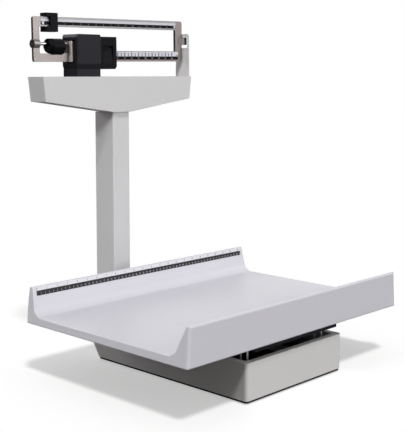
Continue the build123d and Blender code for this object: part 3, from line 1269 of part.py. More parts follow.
# Trig bracket: an upright plate on the head's right end, with a window for the beam's nose
wall_x = HEAD_TOP_HALF - SHEET - SEAT_GAP
bend_z = HEAD_TOP_Z - (wall_x - TRIG_X - TRIG_SHEET) / end_slope
trig_foot_x = wall_x - end_slope * (HEAD_TOP_Z - TRIG_FOOT_Z)
with BuildPart() as trig_bracket:
    with BuildSketch(front_plane(0, BEAM_Y, 0)):
        with BuildLine():
            Polyline(
                (TRIG_X, TRIG_TOP_Z),
                (TRIG_X + TRIG_SHEET, TRIG_TOP_Z),
                (TRIG_X + TRIG_SHEET, bend_z),
                (trig_foot_x, TRIG_FOOT_Z),
                (trig_foot_x - TRIG_SHEET, TRIG_FOOT_Z),
                (TRIG_X, bend_z),
                close=True,
            )
        make_face()
    extrude(amount=TRIG_HALF_BOTTOM, both=True)
    with BuildSketch(side_plane(trig_foot_x - 2 * TRIG_SHEET, BEAM_Y, 0)):
        with BuildLine():
            FilletPolyline(
                (-TRIG_HALF_BOTTOM, TRIG_FOOT_Z),
                (TRIG_HALF_BOTTOM, TRIG_FOOT_Z),
                (TRIG_HALF_TOP, TRIG_TOP_Z),
                (-TRIG_HALF_TOP, TRIG_TOP_Z),
                close=True,
                radius=TRIG_CORNER,
            )
        make_face()
        with Locations((0, (TRIG_WINDOW_BOTTOM_Z + TRIG_WINDOW_TOP_Z) / 2)):
            RectangleRounded(
                2 * TRIG_WINDOW_HALF,
                TRIG_WINDOW_TOP_Z - TRIG_WINDOW_BOTTOM_Z,
                TRIG_SHEET,
                mode=Mode.SUBTRACT,
            )
    extrude(amount=HEAD_TOP_HALF - trig_foot_x + 2 * TRIG_SHEET, mode=Mode.INTERSECT)
    with BuildSketch(end_wall):
        with GridLocations(2 * TRIG_RIVET_Y, 0, 2, 1):
            Circle(TRIG_RIVET_RADIUS)
    extrude(amount=-4 * TRIG_SHEET, mode=Mode.SUBTRACT)
trig_bracket.part.label = "trig_bracket"
export_step(trig_bracket.part, "parts/trig_bracket.step")

with BuildPart() as trig_rivets:
    for head_level, outward in ((0, 1), (-SHEET - SEAT_GAP - TRIG_SHEET, -1)):
        with BuildSketch(end_wall.offset(head_level)):
            with GridLocations(2 * TRIG_RIVET_Y, 0, 2, 1):
                Circle(SCREW_HEAD_RATIO * TRIG_RIVET_RADIUS)
        extrude(amount=outward * TRIG_RIVET_HEAD)
    with BuildSketch(end_wall):
        with GridLocations(2 * TRIG_RIVET_Y, 0, 2, 1):
            Circle(TRIG_RIVET_RADIUS)
    extrude(amount=-SHEET - SEAT_GAP - TRIG_SHEET)
trig_rivets.part.label = "trig_rivets"
export_step(trig_rivets.part, "parts/trig_rivets.step")

# Beam pivots: the fulcrum edge points down, the load edge points up
with BuildPart() as beam_pivots:
    fulcrum_reach = PILLAR_INNER + PILLAR_THICKNESS + KNIFE_OVERHANG
    load_reach = PILLAR_INNER + STRAP_THICKNESS + KNIFE_OVERHANG
    extrude(knife(BEAM_PLANE, point_up=False), amount=fulcrum_reach, both=True)
    load_origin = BEAM_PLANE.from_local_coords((-LOAD_ARM, 0, 0))
    load_plane = Plane(origin=load_origin, x_dir=BEAM_PLANE.x_dir, z_dir=BEAM_PLANE.z_dir)
    extrude(knife(load_plane, point_up=True), amount=load_reach, both=True)
beam_pivots.part.label = "beam_pivots"
export_step(beam_pivots.part, "parts/beam_pivots.step")

# Beam: a long frame with a thick hub at its fulcrum, a round boss on the left and a nose on the right
beam_length = BEAM_LEFT + BEAM_RIGHT
beam_middle = (BEAM_RIGHT - BEAM_LEFT) / 2
inner_left = -BEAM_LEFT + LEFT_BAR
inner_right = BEAM_RIGHT - RIGHT_BAR
inner_top = BEAM_TOP - UPPER_BAR
lower_top = -BEAM_BOTTOM + LOWER_BAR
lower_left_top = -BEAM_BOTTOM + LOWER_LEFT_BAR
with BuildPart() as beam_frame:
    with BuildSketch(BEAM_PLANE):
        with Locations((beam_middle, (BEAM_TOP - BEAM_BOTTOM) / 2)):
            RectangleRounded(beam_length, BEAM_TOP + BEAM_BOTTOM, BEAM_CORNER)
        with BuildLine():
            FilletPolyline(
                (inner_left, lower_left_top),
                (-HUB_LEFT, lower_left_top),
                (-HUB_LEFT, lower_top),
                (inner_right, lower_top),
                (inner_right, inner_top),
                (inner_left, inner_top),
                close=True,
                radius=BEAM_INNER_CORNER,
            )
        make_face(mode=Mode.SUBTRACT)
    extrude(amount=BEAM_THICKNESS / 2, both=True)
    with BuildSketch(BEAM_PLANE):
        with Locations((-HUB_LEFT, -BEAM_BOTTOM)):
            Rectangle(HUB_LEFT + HUB_RIGHT, HUB_TOP + BEAM_BOTTOM, align=(Align.MIN, Align.MIN))
    extrude(amount=HUB_HALF, both=True)
    hub_edges = beam_frame.edges().filter_by(
        lambda e: abs(BEAM_PLANE.to_local_coords(e.center()).X + HUB_LEFT) < 0.01
        and abs(abs(BEAM_PLANE.to_local_coords(e.center()).Z) - HUB_HALF) < 0.01
    )
    fillet(hub_edges, radius=HUB_ROUND)
    with BuildSketch(beam_section(-BOSS_LEFT, BOSS_HEIGHT)):
        Circle(BOSS_RADIUS)
    extrude(amount=BOSS_LEFT - BOSS_RIGHT)
    with BuildSketch(beam_section(-BOSS_LEFT, BOSS_HEIGHT)):
        Circle(BALANCE_ROD_RADIUS)
    extrude(amount=BOSS_LEFT - HUB_LEFT + BALANCE_ROD_SEAT, mode=Mode.SUBTRACT)
    with BuildSketch(beam_section(BEAM_RIGHT - RIGHT_BAR / 2, NOSE_BOTTOM + NOSE_HEIGHT / 2)):
        Rectangle(NOSE_THICKNESS, NOSE_HEIGHT)
    extrude(amount=RIGHT_BAR / 2 + NOSE_LENGTH)
    with BuildSketch(beam_section(BEAM_RIGHT + NOSE_LENGTH, NOSE_BOTTOM + NOSE_HEIGHT / 2)):
        Rectangle(NOSE_THICKNESS - 2 * SLEEVE_WALL, NOSE_HEIGHT - 2 * SLEEVE_WALL)
    extrude(amount=SLEEVE_LENGTH - SLEEVE_WALL)
    add(beam_pivots.part, mode=Mode.SUBTRACT)
    with BuildSketch(BEAM_PLANE):
        with Locations(*RIVET_SPOTS):
            Circle(RIVET_RADIUS)
    extrude(amount=BEAM_THICKNESS, both=True, mode=Mode.SUBTRACT)
beam_frame.part.label = "beam_frame"
export_step(beam_frame.part, "parts/beam_frame.step")

with BuildPart() as trig_sleeve:
    with BuildSketch(beam_section(BEAM_RIGHT + NOSE_LENGTH, NOSE_BOTTOM + NOSE_HEIGHT / 2)):
        RectangleRounded(NOSE_THICKNESS, NOSE_HEIGHT, SLEEVE_WALL)
    extrude(amount=SLEEVE_LENGTH)
    with BuildSketch(beam_section(BEAM_RIGHT + NOSE_LENGTH, NOSE_BOTTOM + NOSE_HEIGHT / 2)):
        Rectangle(NOSE_THICKNESS - 2 * SLEEVE_WALL, NOSE_HEIGHT - 2 * SLEEVE_WALL)
    extrude(amount=SLEEVE_LENGTH - SLEEVE_WALL, mode=Mode.SUBTRACT)
trig_sleeve.part.label = "trig_sleeve"
export_step(trig_sleeve.part, "parts/trig_sleeve.step")

with BuildPart() as balance_rod:
    with BuildSketch(beam_section(-BOSS_LEFT + BALANCE_ROD_SEAT / 2, BOSS_HEIGHT)):
        Circle(BALANCE_ROD_RADIUS)
    extrude(amount=BOSS_LEFT - HUB_LEFT + BALANCE_ROD_SEAT / 2)
balance_rod.part.label = "balance_rod"
export_step(balance_rod.part, "parts/balance_rod.step")

# Scale plates on the beam's front and the rivets that hold them
plate_sizes = (
    (
        "upper_scale_plate",
        -UPPER_PLATE_LEFT,
        UPPER_PLATE_RIGHT,
        UPPER_PLATE_BOTTOM,
        UPPER_PLATE_HEIGHT,
    ),
    (
        "lower_scale_plate",
        LOWER_PLATE_START,
        LOWER_PLATE_RIGHT,
        LOWER_PLATE_BOTTOM,
        LOWER_PLATE_HEIGHT,
    ),
)
for label, left, right, bottom, height in plate_sizes:
    with BuildPart() as scale_plate:
        with BuildSketch(BEAM_PLANE.offset(BEAM_THICKNESS / 2)):
            with Locations((left, bottom)):
                Rectangle(right - left, height, align=(Align.MIN, Align.MIN))
            with Locations(*RIVET_SPOTS):
                Circle(RIVET_RADIUS, mode=Mode.SUBTRACT)
        extrude(amount=PLATE_SHEET)
    scale_plate.part.label = label
    export_step(scale_plate.part, f"parts/{label}.step")

with BuildPart() as scale_rivets:
    with BuildSketch(BEAM_PLANE.offset(-BEAM_THICKNESS / 2)):
        with Locations(*RIVET_SPOTS):
            Circle(RIVET_RADIUS)
    extrude(amount=BEAM_THICKNESS + PLATE_SHEET)
    with BuildSketch(BEAM_PLANE.offset(BEAM_THICKNESS / 2 + PLATE_SHEET)):
        with Locations(*RIVET_SPOTS):
            Circle(SCREW_HEAD_RATIO * RIVET_RADIUS)
    extrude(amount=RIVET_HEAD)
scale_rivets.part.label = "scale_rivets"
export_step(scale_rivets.part, "parts/scale_rivets.step")


# Poises: blocks with a slot that slides along a bar
def poise_slot(bar_bottom, bar_top):
    """The slot's section across the beam: round a bar and the scale plate on its front."""
    with BuildSketch(beam_section(-BEAM_LEFT, 0)) as slot:
        with Locations((BEAM_THICKNESS / 2 + SLIDE_GAP, bar_top + SEAT_GAP)):
            Rectangle(
                BEAM_THICKNESS + PLATE_SHEET + 2 * SLIDE_GAP,
                bar_top - bar_bottom + SEAT_GAP + RUN_GAP,
                align=(Align.MAX, Align.MAX),
            )
    return slot.sketch


def poise_plan(left, length, bottom, depth, edge_x, edge_y):
    """A poise's plan, its two front corners cut off by edge_x along the beam and edge_y across it."""
    corner = BEAM_PLANE.from_local_coords((left, bottom, 0))
    plan_plane = Plane(origin=corner, x_dir=BEAM_PLANE.x_dir, z_dir=BEAM_PLANE.y_dir)
    with BuildSketch(plan_plane) as plan:
        with BuildLine():
            Polyline(
                (0, depth / 2),
                (0, -depth / 2 + edge_y),
                (edge_x, -depth / 2),
                (length - edge_x, -depth / 2),
                (length, -depth / 2 + edge_y),
                (length, depth / 2),
                close=True,
            )
        make_face()
    return plan.sketch


def pointer_facet():
    """What is cut away under the notch: a wedge, thickest at the notch's edge, none at the facet's foot."""
    with BuildPart() as facet:
        with BuildSketch(BEAM_PLANE.offset(LARGE_POISE_DEPTH / 2)):
            with BuildLine():
                Polyline(
                    NOTCH_FOOT,
                    NOTCH_TIP,
                    (NOTCH_TIP[0], FACET_FOOT),
                    (NOTCH_FOOT[0], FACET_FOOT),
                    close=True,
                )
            make_face()
        extrude(amount=-NOTCH_DEPTH)
        rise = NOTCH_TIP[1] - FACET_FOOT
        with BuildSketch(beam_section(NOTCH_FOOT[0], FACET_FOOT)):
            with BuildLine():
                Polyline(
                    (-LARGE_POISE_DEPTH / 2, 0),
                    (-LARGE_POISE_DEPTH / 2, rise),
                    (-LARGE_POISE_DEPTH / 2 + FACET_SLOPE * rise, rise),
                    close=True,
                )
            make_face()
        extrude(amount=NOTCH_TIP[0] - NOTCH_FOOT[0], mode=Mode.INTERSECT)
    return facet.part


with BuildPart() as small_poise:
    extrude(
        poise_plan(
            -SMALL_POISE_LEFT,
            SMALL_POISE_LENGTH,
            SMALL_POISE_BOTTOM,
            SMALL_POISE_DEPTH,
            POISE_CHAMFER,
            POISE_CHAMFER,
        ),
        amount=SMALL_POISE_HEIGHT,
    )
    extrude(poise_slot(inner_top, BEAM_TOP), amount=beam_length, mode=Mode.SUBTRACT)
    with BuildSketch(BEAM_PLANE):
        with Locations((-SMALL_POISE_LEFT, inner_top - RUN_GAP)):
            Rectangle(SMALL_MOUTH, UPPER_BAR + RUN_GAP + SEAT_GAP, align=(Align.MIN, Align.MIN))
    extrude(amount=SMALL_POISE_DEPTH, mode=Mode.SUBTRACT)
    with BuildSketch(BEAM_PLANE.offset(-SMALL_POISE_DEPTH / 2)):
        with Locations((-SMALL_POISE_LEFT + SMALL_POISE_LENGTH / 2, BEAM_TOP - UPPER_BAR / 2)):
            Circle(SMALL_PLUG_RADIUS)
    extrude(amount=POISE_PLUG_DEPTH, mode=Mode.SUBTRACT)
small_poise.part.label = "small_poise"
export_step(small_poise.part, "parts/small_poise.step")

with BuildPart() as large_poise:
    extrude(
        poise_plan(
            LARGE_POISE_LEFT,
            LARGE_POISE_LENGTH,
            LARGE_POISE_BOTTOM,
            LARGE_POISE_DEPTH,
            LARGE_POISE_EDGE,
            POISE_CHAMFER,
        ),
        amount=LARGE_POISE_HEIGHT,
    )
    with BuildSketch(BEAM_PLANE):
        with BuildLine():
            corner_x = LARGE_POISE_LEFT + LARGE_POISE_LENGTH
            Polyline(
                (corner_x, LARGE_POISE_BOTTOM),
                (corner_x, LARGE_POISE_BOTTOM + LARGE_POISE_CORNER),
                (corner_x - LARGE_POISE_CORNER, LARGE_POISE_BOTTOM),
                close=True,
            )
        make_face()
    extrude(amount=LARGE_POISE_DEPTH, both=True, mode=Mode.SUBTRACT)
    # Pointer notch: a triangular pocket, and under it a facet that slopes forward and down
    with BuildSketch(BEAM_PLANE.offset(LARGE_POISE_DEPTH / 2)):
        with BuildLine():
            Polyline(NOTCH_FOOT, NOTCH_TIP, (NOTCH_FOOT[0] - NOTCH_SIDE, NOTCH_TIP[1]), close=True)
        make_face()
    extrude(amount=-NOTCH_DEPTH, mode=Mode.SUBTRACT)
    add(pointer_facet(), mode=Mode.SUBTRACT)
    extrude(poise_slot(-BEAM_BOTTOM, lower_top), amount=beam_length, mode=Mode.SUBTRACT)
    with BuildSketch(BEAM_PLANE.offset(-LARGE_POISE_DEPTH / 2)):
        with Locations((LARGE_POISE_LEFT + LARGE_POISE_LENGTH / 2, lower_top - LOWER_BAR / 2)):
            Circle(LARGE_PLUG_RADIUS)
    extrude(amount=POISE_PLUG_DEPTH, mode=Mode.SUBTRACT)
large_poise.part.label = "large_poise"
export_step(large_poise.part, "parts/large_poise.step")

# Plugs in the poises' backs
plug_sizes = (
    (
        "small_poise_plug",
        -SMALL_POISE_LEFT + SMALL_POISE_LENGTH / 2,
        BEAM_TOP - UPPER_BAR / 2,
        SMALL_POISE_DEPTH,
        SMALL_PLUG_RADIUS,
    ),
    (
        "large_poise_plug",
        LARGE_POISE_LEFT + LARGE_POISE_LENGTH / 2,
        lower_top - LOWER_BAR / 2,
        LARGE_POISE_DEPTH,
        LARGE_PLUG_RADIUS,
    ),
)
for label, x, y, depth, radius in plug_sizes:
    with BuildPart() as poise_plug:
        with BuildSketch(BEAM_PLANE.offset(-depth / 2 + POISE_PLUG_DEPTH)):
            with Locations((x, y)):
                Circle(radius)
        extrude(amount=-POISE_PLUG_DEPTH - RIVET_HEAD)
    poise_plug.part.label = label
    export_step(poise_plug.part, f"parts/{label}.step")

# Balance weights on the rod, each with a set screw in its back
weights = (
    (
        "large_balance_weight",
        LARGE_WEIGHT_LEFT,
        LARGE_WEIGHT_LENGTH,
        LARGE_WEIGHT_RADIUS,
        LARGE_WEIGHT_DROP,
        LARGE_WEIGHT_CHAMFER,
    ),
    (
        "small_balance_weight",
        LARGE_WEIGHT_LEFT + SMALL_WEIGHT_LENGTH + WEIGHT_GAP,
        SMALL_WEIGHT_LENGTH,
        SMALL_WEIGHT_RADIUS,
        SMALL_WEIGHT_DROP,
        SMALL_WEIGHT_CHAMFER,
    ),
)
for label, left, length, radius, drop, edge in weights:
    screw_spot = (-left + length / 2, BOSS_HEIGHT)
    screw_reach = (radius**2 - drop**2) ** 0.5
    with BuildPart() as weight:
        with BuildSketch(beam_section(-left, BOSS_HEIGHT)):
            with Locations((0, -drop)):
                Circle(radius)
        extrude(amount=length)
        chamfer(weight.edges().filter_by(GeomType.CIRCLE), length=edge)
        with BuildSketch(beam_section(-left, BOSS_HEIGHT)):
            Circle(WEIGHT_RECESS_RADIUS)
        extrude(amount=WEIGHT_RECESS_DEPTH, mode=Mode.SUBTRACT)
        with BuildSketch(beam_section(-left, BOSS_HEIGHT)):
            Circle(BALANCE_ROD_RADIUS + BORE_GAP)
            with Locations((0, lower_left_top + RUN_GAP - BOSS_HEIGHT)):
                Rectangle(BEAM_THICKNESS + 2 * SLIDE_GAP, radius, align=(Align.CENTER, Align.MAX))
        extrude(amount=length, mode=Mode.SUBTRACT)
        with BuildSketch(BEAM_PLANE):
            with Locations(screw_spot):
                Circle(SET_SCREW_RADIUS)
        extrude(amount=-2 * radius, mode=Mode.SUBTRACT)
    weight.part.label = label
    export_step(weight.part, f"parts/{label}.step")
    with BuildPart() as set_screw:
        with BuildSketch(BEAM_PLANE.offset(-BALANCE_ROD_RADIUS - SEAT_GAP)):
            with Locations(screw_spot):
                Circle(SET_SCREW_RADIUS)
        extrude(amount=-(screw_reach - BALANCE_ROD_RADIUS - SET_SCREW_RADIUS))
    set_screw.part.label = f"{label}_screw"
    export_step(set_screw.part, f"parts/{label}_screw.step")
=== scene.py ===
# %% [markdown]
# # A mechanical baby scale
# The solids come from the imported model, and this file only dresses them: finishes, printed marks
# and numerals, then light and a camera. Everything is in metres, in the model's own frame, so a
# mark that belongs on the beam is placed by the beam's own measures.

# %% Load the frame
import json
import math

import bmesh
import bpy
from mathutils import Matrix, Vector


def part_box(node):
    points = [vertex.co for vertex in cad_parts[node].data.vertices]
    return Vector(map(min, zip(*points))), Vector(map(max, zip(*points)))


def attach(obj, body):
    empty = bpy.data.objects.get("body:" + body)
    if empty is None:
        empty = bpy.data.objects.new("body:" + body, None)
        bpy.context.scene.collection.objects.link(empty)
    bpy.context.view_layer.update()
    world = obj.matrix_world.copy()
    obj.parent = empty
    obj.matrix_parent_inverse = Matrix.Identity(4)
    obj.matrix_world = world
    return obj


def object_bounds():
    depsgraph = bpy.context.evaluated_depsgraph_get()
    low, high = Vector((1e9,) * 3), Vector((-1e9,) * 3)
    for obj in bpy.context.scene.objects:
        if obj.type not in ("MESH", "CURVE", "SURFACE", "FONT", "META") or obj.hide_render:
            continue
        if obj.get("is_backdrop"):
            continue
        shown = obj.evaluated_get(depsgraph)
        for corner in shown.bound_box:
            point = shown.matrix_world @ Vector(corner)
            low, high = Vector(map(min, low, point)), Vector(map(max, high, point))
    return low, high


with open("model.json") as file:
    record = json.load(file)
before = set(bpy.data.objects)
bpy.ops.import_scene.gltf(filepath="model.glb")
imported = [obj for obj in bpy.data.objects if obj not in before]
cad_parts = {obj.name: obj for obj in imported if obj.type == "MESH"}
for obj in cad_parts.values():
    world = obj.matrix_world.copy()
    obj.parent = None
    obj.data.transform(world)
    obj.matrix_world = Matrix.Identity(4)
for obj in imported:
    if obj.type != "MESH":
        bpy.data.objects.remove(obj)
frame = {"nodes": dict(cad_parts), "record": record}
nodes = frame["nodes"]
cad_low, cad_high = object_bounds()
MM = 0.001
print(len(nodes), "nodes in a box of", [round(side / MM, 1) for side in cad_high - cad_low], "mm")

# %% [markdown]
# ## The camera
# The photograph looks at the scale from its front left, a little from above. Its viewpoint was
# solved from the corners of the tray, the base and the head, so the camera stands where that
# solution puts it. The lens is long, which keeps the column's edges nearly parallel.

# %% Place the camera
HEADING = math.radians(46.18)
PITCH = math.radians(5.9)
LENS = 80.7
PICTURE_SHIFT = -0.1
STAND = Vector((-1.4034, -1.3695, 0.5899))

look = Vector((
    math.sin(HEADING) * math.cos(PITCH),
    math.cos(HEADING) * math.cos(PITCH),
    -math.sin(PITCH),
))
camera = bpy.data.objects.new("camera", bpy.data.cameras.new("camera"))
camera.data.lens = LENS
camera.data.shift_y = PICTURE_SHIFT
camera.location = STAND
camera.rotation_mode = "QUATERNION"
camera.rotation_quaternion = look.to_track_quat("-Z", "Y")
bpy.context.scene.collection.objects.link(camera)
bpy.context.scene.camera = camera
bpy.context.scene.view_settings.view_transform = "Standard"
print("the camera looks along", tuple(round(c, 3) for c in look))

# %% [markdown]
# ## Sockets that read like numbers
# A finish mixes noise, masks and colours. Written as node calls, that is hard to read, so one small
# class wraps a socket and lets it be added or multiplied like a number. Every other node comes from
# its single method, which takes the node's type, its settings, and what its sockets hold.


# %% The socket class
def pick(sockets, key):
    """One of the sockets in use, by its place among them or by its name."""
    shown = [socket for socket in sockets if socket.enabled]
    return shown[key] if isinstance(key, int) else next(s for s in shown if s.name == key)


class Wire:
    """An output socket of a finish, used like a number in an expression."""

    def __init__(self, tree, socket=None):
        self.tree = tree
        self.socket = socket

    def node(self, kind, settings=None, values=None, output=0):
        """Adds a node: its type, its settings first, then values or wires for its sockets."""
        made = self.tree.nodes.new(kind)
        for key, value in (settings or {}).items():
            setattr(made, key, value)
        for key, value in (values or {}).items():
            socket = pick(made.inputs, key)
            if isinstance(value, Wire):
                self.tree.links.new(value.socket, socket)
            else:
                socket.default_value = value
        return Wire(self.tree, pick(made.outputs, output)) if made.outputs else None

    def maths(self, operation, *numbers):
        return self.node("ShaderNodeMath", {"operation": operation}, dict(enumerate(numbers)))

    def __add__(self, other):
        return self.maths("ADD", self, other)

    def __sub__(self, other):
        return self.maths("SUBTRACT", self, other)

    def __rsub__(self, other):
        return self.maths("SUBTRACT", other, self)

    def __mul__(self, other):
        return self.maths("MULTIPLY", self, other)

    def __abs__(self):
        return self.maths("ABSOLUTE", self)

    __radd__ = __add__
    __rmul__ = __mul__


print("a Wire takes + - * from either side, and abs()")

# %% [markdown]
# ## Colours
# A picture shows each colour channel as a number from 0 to 255, bent so that dark tones get more
# room. A shader wants the amount of light itself. Colours are written here as a picture shows them,
# because they can be compared with a photograph that way, and one function unbends them.


# %% Colours as a picture shows them
def tint(red, green, blue):
    """A colour as a shader wants it, from the numbers that a picture shows (0 to 255)."""
    scale = [c / 255 for c in (red, green, blue)]
    linear = [c / 12.92 if c <= 0.04045 else ((c + 0.055) / 1.055) ** 2.4 for c in scale]
    return (*linear, 1.0)


def shaded(colour, factor, lift=0.0):
    """The same colour, darker by a factor and lifted by a small amount."""
    return (*(c * factor + lift for c in colour[:3]), 1.0)


print("a grey of 128 reflects", round(tint(128, 128, 128)[0], 3), "of the light")

# %% [markdown]
# ## What all finishes share
# No real surface is even. Paint has orange peel and thin spots, metal has grain and stains, and all
# of it comes from noise: as it is for a gentle change, or cut steeply into a mask with spots.


# %% Noise, masks and mixes
def begin(name):
    """A new empty finish: the material, a starting wire and the place on the object."""
    material = bpy.data.materials.new(name)
    material.use_nodes = True
    material.node_tree.nodes.clear()
    start = Wire(material.node_tree)
    return material, start, start.node("ShaderNodeTexCoord", output="Object")


def noise(place, scale, detail=2.0, roughness=0.5):
    """Cloudy noise from 0 to 1; scale is in lumps per metre."""
    values = {"Vector": place, "Scale": scale, "Detail": detail, "Roughness": roughness}
    return place.node("ShaderNodeTexNoise", values=values, output="Fac")


def slope(value, low, high):
    """A straight line that is 0 at low and 1 at high."""
    return (value - low) * (1 / (high - low))


def clamped(value):
    """The value kept between 0 and 1."""
    return value.node("ShaderNodeClamp", values={"Value": value}, output="Result")


def mixed(mask, first, second):
    """The first colour where the mask is 0, the second where it is 1."""
    values = {"Factor": mask, "A": first, "B": second}
    return mask.node("ShaderNodeMix", {"data_type": "RGBA"}, values, "Result")


print("100 lumps per metre are lumps of", 1 / 100 / MM, "mm")

# %% [markdown]
# ## Edges
# Paint and plating wear first along their edges, and a real edge is never quite sharp. A bevel node
# gives a rounded normal near an edge. Where that differs from the true normal there is an edge, so
# the same node both softens the corners of the solids and tells where wear belongs.

# %% Soft edges
EDGE_GAIN = 6


def true_normal(start):
    """The surface's own normal, with no edge rounded."""
    return start.node("ShaderNodeNewGeometry", output="Normal")


def soft_edges(start, radius):
    """A normal that rounds edges by the radius, and a mask of those edges."""
    rounded = start.node("ShaderNodeBevel", {"samples": 6}, {"Radius": radius}, "Normal")
    dot = {"operation": "DOT_PRODUCT"}
    same = start.node("ShaderNodeVectorMath", dot, {0: rounded, 1: true_normal(start)}, "Value")
    return rounded, clamped((1 - same) * EDGE_GAIN)


full_turn = math.degrees(math.acos(1 - 1 / EDGE_GAIN))
print("an edge is marked fully where its normal turns by", round(full_turn), "degrees")

# %% [markdown]
# ## How a finish ends
# Each finish ends in one shader. Its roughness wanders, because gloss that is the same everywhere
# looks like a drawing, and a bump lets light catch on grain or peel that is far too fine to model.


# %% Uneven gloss and the shader
def uneven(middle, *patterns):
    """A roughness that wanders around its middle; each pattern comes with how far it spreads."""
    level = middle - sum(spread for _, spread in patterns) / 2
    for pattern, spread in patterns:
        level = pattern * spread + level
    return clamped(level)


def lay(normal, height, depth, values):
    """Ends a finish: a bump of the given depth over the normal, and the shader's values."""
    bump = {"Strength": 1.0, "Distance": depth, "Height": height, "Normal": normal}
    bumped = normal.node("ShaderNodeBump", values=bump)
    shader = normal.node("ShaderNodeBsdfPrincipled", values={"Normal": bumped, **values})
    normal.node("ShaderNodeOutputMaterial", values={"Surface": shader})


# %% [markdown]
# ## Enamel on sheet metal, and the tray's skin
# The base, the bracket, the column, the head and the trig bracket are folded sheet, sprayed with a
# light grey enamel and baked. Spraying leaves a fine orange peel and slightly uneven gloss, and the
# folds rub bright first. All of that is noise at several scales over one colour. The base and the
# trig bracket get lighter copies of that enamel, which is painted light. The moulded tray has much
# the same skin, only coarser, with wider edges, and a painted highlight makes its edges palest
# where they look up, so one function makes them all.

# %% Paint and moulded skin
CLOUD_SCALE, SPOT_SCALE, RUB_SCALE = 14, 45, 160
CLOUD_SHARE, AGED_SHADE = 0.35, 0.88
RUBBED_LOW, RUBBED_HIGH, RUBBED_SHARE = 0.46, 0.62, 0.5
SPOT_SPREAD, RUB_BUMP = 0.14, 0.25


def part_of(vector, axis):
    """The X, Y or Z of a place or a normal."""
    return vector.node("ShaderNodeSeparateXYZ", values={"Vector": vector}, output=axis)


def rim_mask(normal, edges):
    """1 on the sharpest edges that don't look down, where a painted highlight goes."""
    upward = clamped(slope(part_of(normal, "Z"), -0.35, -0.05))
    return clamped(slope(edges, 0.3, 0.9)) * upward


def enamel(name, colour, worn, roughness, peel, level=0.5, edge=0.0009, rim=0.0):
    """A paint or a moulded skin.

    worn is the colour of its rubbed edges and of its painted highlight, peel the scale and the
    depth of its orange peel, level how strongly it reflects, edge how far its edges are rounded,
    rim how strong the painted highlight along its upper edges is.
    """
    material, start, place = begin(name)
    normal, edges = soft_edges(start, edge)
    clouds = noise(place, CLOUD_SCALE, 3)
    spots = noise(place, SPOT_SCALE, 3)
    rub = noise(place, RUB_SCALE, 4, 0.65)
    peel_scale, peel_depth = peel
    wear_and_highlight = clamped(edges * slope(rub, RUBBED_LOW, RUBBED_HIGH)) * RUBBED_SHARE
    # painted highlight: where rim is set, the upper edges turn pale in the worn colour
    if rim:
        wear_and_highlight = clamped(wear_and_highlight + rim_mask(normal, edges) * rim)
    aged = mixed(clouds * CLOUD_SHARE, colour, shaded(colour, AGED_SHADE))
    values = {
        "Base Color": mixed(wear_and_highlight, aged, worn),
        "Roughness": uneven(roughness, (spots, SPOT_SPREAD)),
        "Specular IOR Level": level,
    }
    lay(normal, noise(place, peel_scale, 2) + rub * RUB_BUMP, peel_depth, values)
    return material


print("rubbed spots are about", round(1 / RUB_SCALE / MM), "mm wide")

# %% Mix the paints and the skins
sheet_peel = (900, 0.000035)
grey_enamel = enamel("grey_enamel", tint(202, 201, 202), tint(225, 224, 224), 0.36, sheet_peel)
# painted light: the base and the trig bracket take lighter copies of the grey enamel
lit_base_enamel = enamel("lit_base_enamel", tint(215, 213, 213), tint(228, 227, 227), 0.36, sheet_peel)
lit_trig_enamel = enamel("lit_trig_enamel", tint(214, 212, 212), tint(235, 234, 234), 0.36, sheet_peel)
black_enamel = enamel(
    "black_enamel", tint(27, 27, 33), tint(70, 70, 74), 0.42, (1300, 0.00003), level=0.14
)
poise_enamel = enamel(
    "poise_enamel", tint(14, 14, 18), tint(56, 56, 60), 0.38, (1100, 0.00002), level=0.06
)
# painted highlight: rim makes the tray's upper edges pale
tray_enamel = enamel(
    "tray_enamel", tint(202, 201, 208), tint(224, 223, 229), 0.33, (420, 0.00004),
    edge=0.0032, rim=0.8,
)
rule_film = enamel(
    "rule_film", tint(208, 208, 213), tint(220, 220, 224), 0.3, (300, 0.00001), edge=0.0003
)
print("the tray's skin has", len(tray_enamel.node_tree.nodes), "nodes")

# %% [markdown]
# ## Bare and plated metal
# The balance rod and the bearing posts are brightly plated, so they mostly show what stands around
# them. Screws and plates are zinc plated, and the levers inside are rough castings. Grain comes
# from noise that is drawn out along one direction, and stains from a second, round noise.

# %% Finishes of the metal pieces
STAIN_SCALE, STAIN_LOW, STAIN_HIGH = 60, 0.4, 0.75
GRAIN_SPREAD, STAIN_SPREAD = 0.16, 0.1


def stretch(place, factors):
    """The place scaled differently along X, Y and Z, which draws noise out into grain."""
    multiply = {"operation": "MULTIPLY"}
    return place.node("ShaderNodeVectorMath", multiply, {0: place, 1: factors}, "Vector")


def metal(name, colour, dull, roughness, grain, depth, edge=0.0004):
    """Plated or cast metal: bright and dull colours, roughness, its grain per metre and depth."""
    material, start, place = begin(name)
    normal, _ = soft_edges(start, edge)
    lines = noise(stretch(place, grain), 1.0, 3, 0.6)
    stains = noise(place, STAIN_SCALE, 4, 0.6)
    values = {
        "Base Color": mixed(clamped(slope(stains, STAIN_LOW, STAIN_HIGH)), colour, dull),
        "Metallic": 1.0,
        "Roughness": uneven(roughness, (lines, GRAIN_SPREAD), (stains, STAIN_SPREAD)),
    }
    lay(normal, lines, depth, values)
    return material


posts = metal(
    "bright_zinc", tint(232, 233, 236), tint(214, 214, 216), 0.34, (600, 600, 900), 0.000006
)
chrome = metal(
    "bright_chrome", tint(215, 216, 218), tint(190, 190, 192), 0.14, (900, 900, 300), 0.000003
)
zinc = metal(
    "zinc_plate", tint(168, 168, 166), tint(140, 138, 134), 0.36, (700, 700, 700), 0.00001
)
iron = metal("cast_iron", tint(92, 90, 88), tint(70, 66, 63), 0.62, (450, 450, 450), 0.00012)
print("each metal has", len(zinc.node_tree.nodes), "nodes")

# %% [markdown]
# ## Rubber
# The feet are moulded rubber, dull and nearly black, with a fine texture from the mould. Dust stays
# in that texture, so patches of a second noise make it greyer.


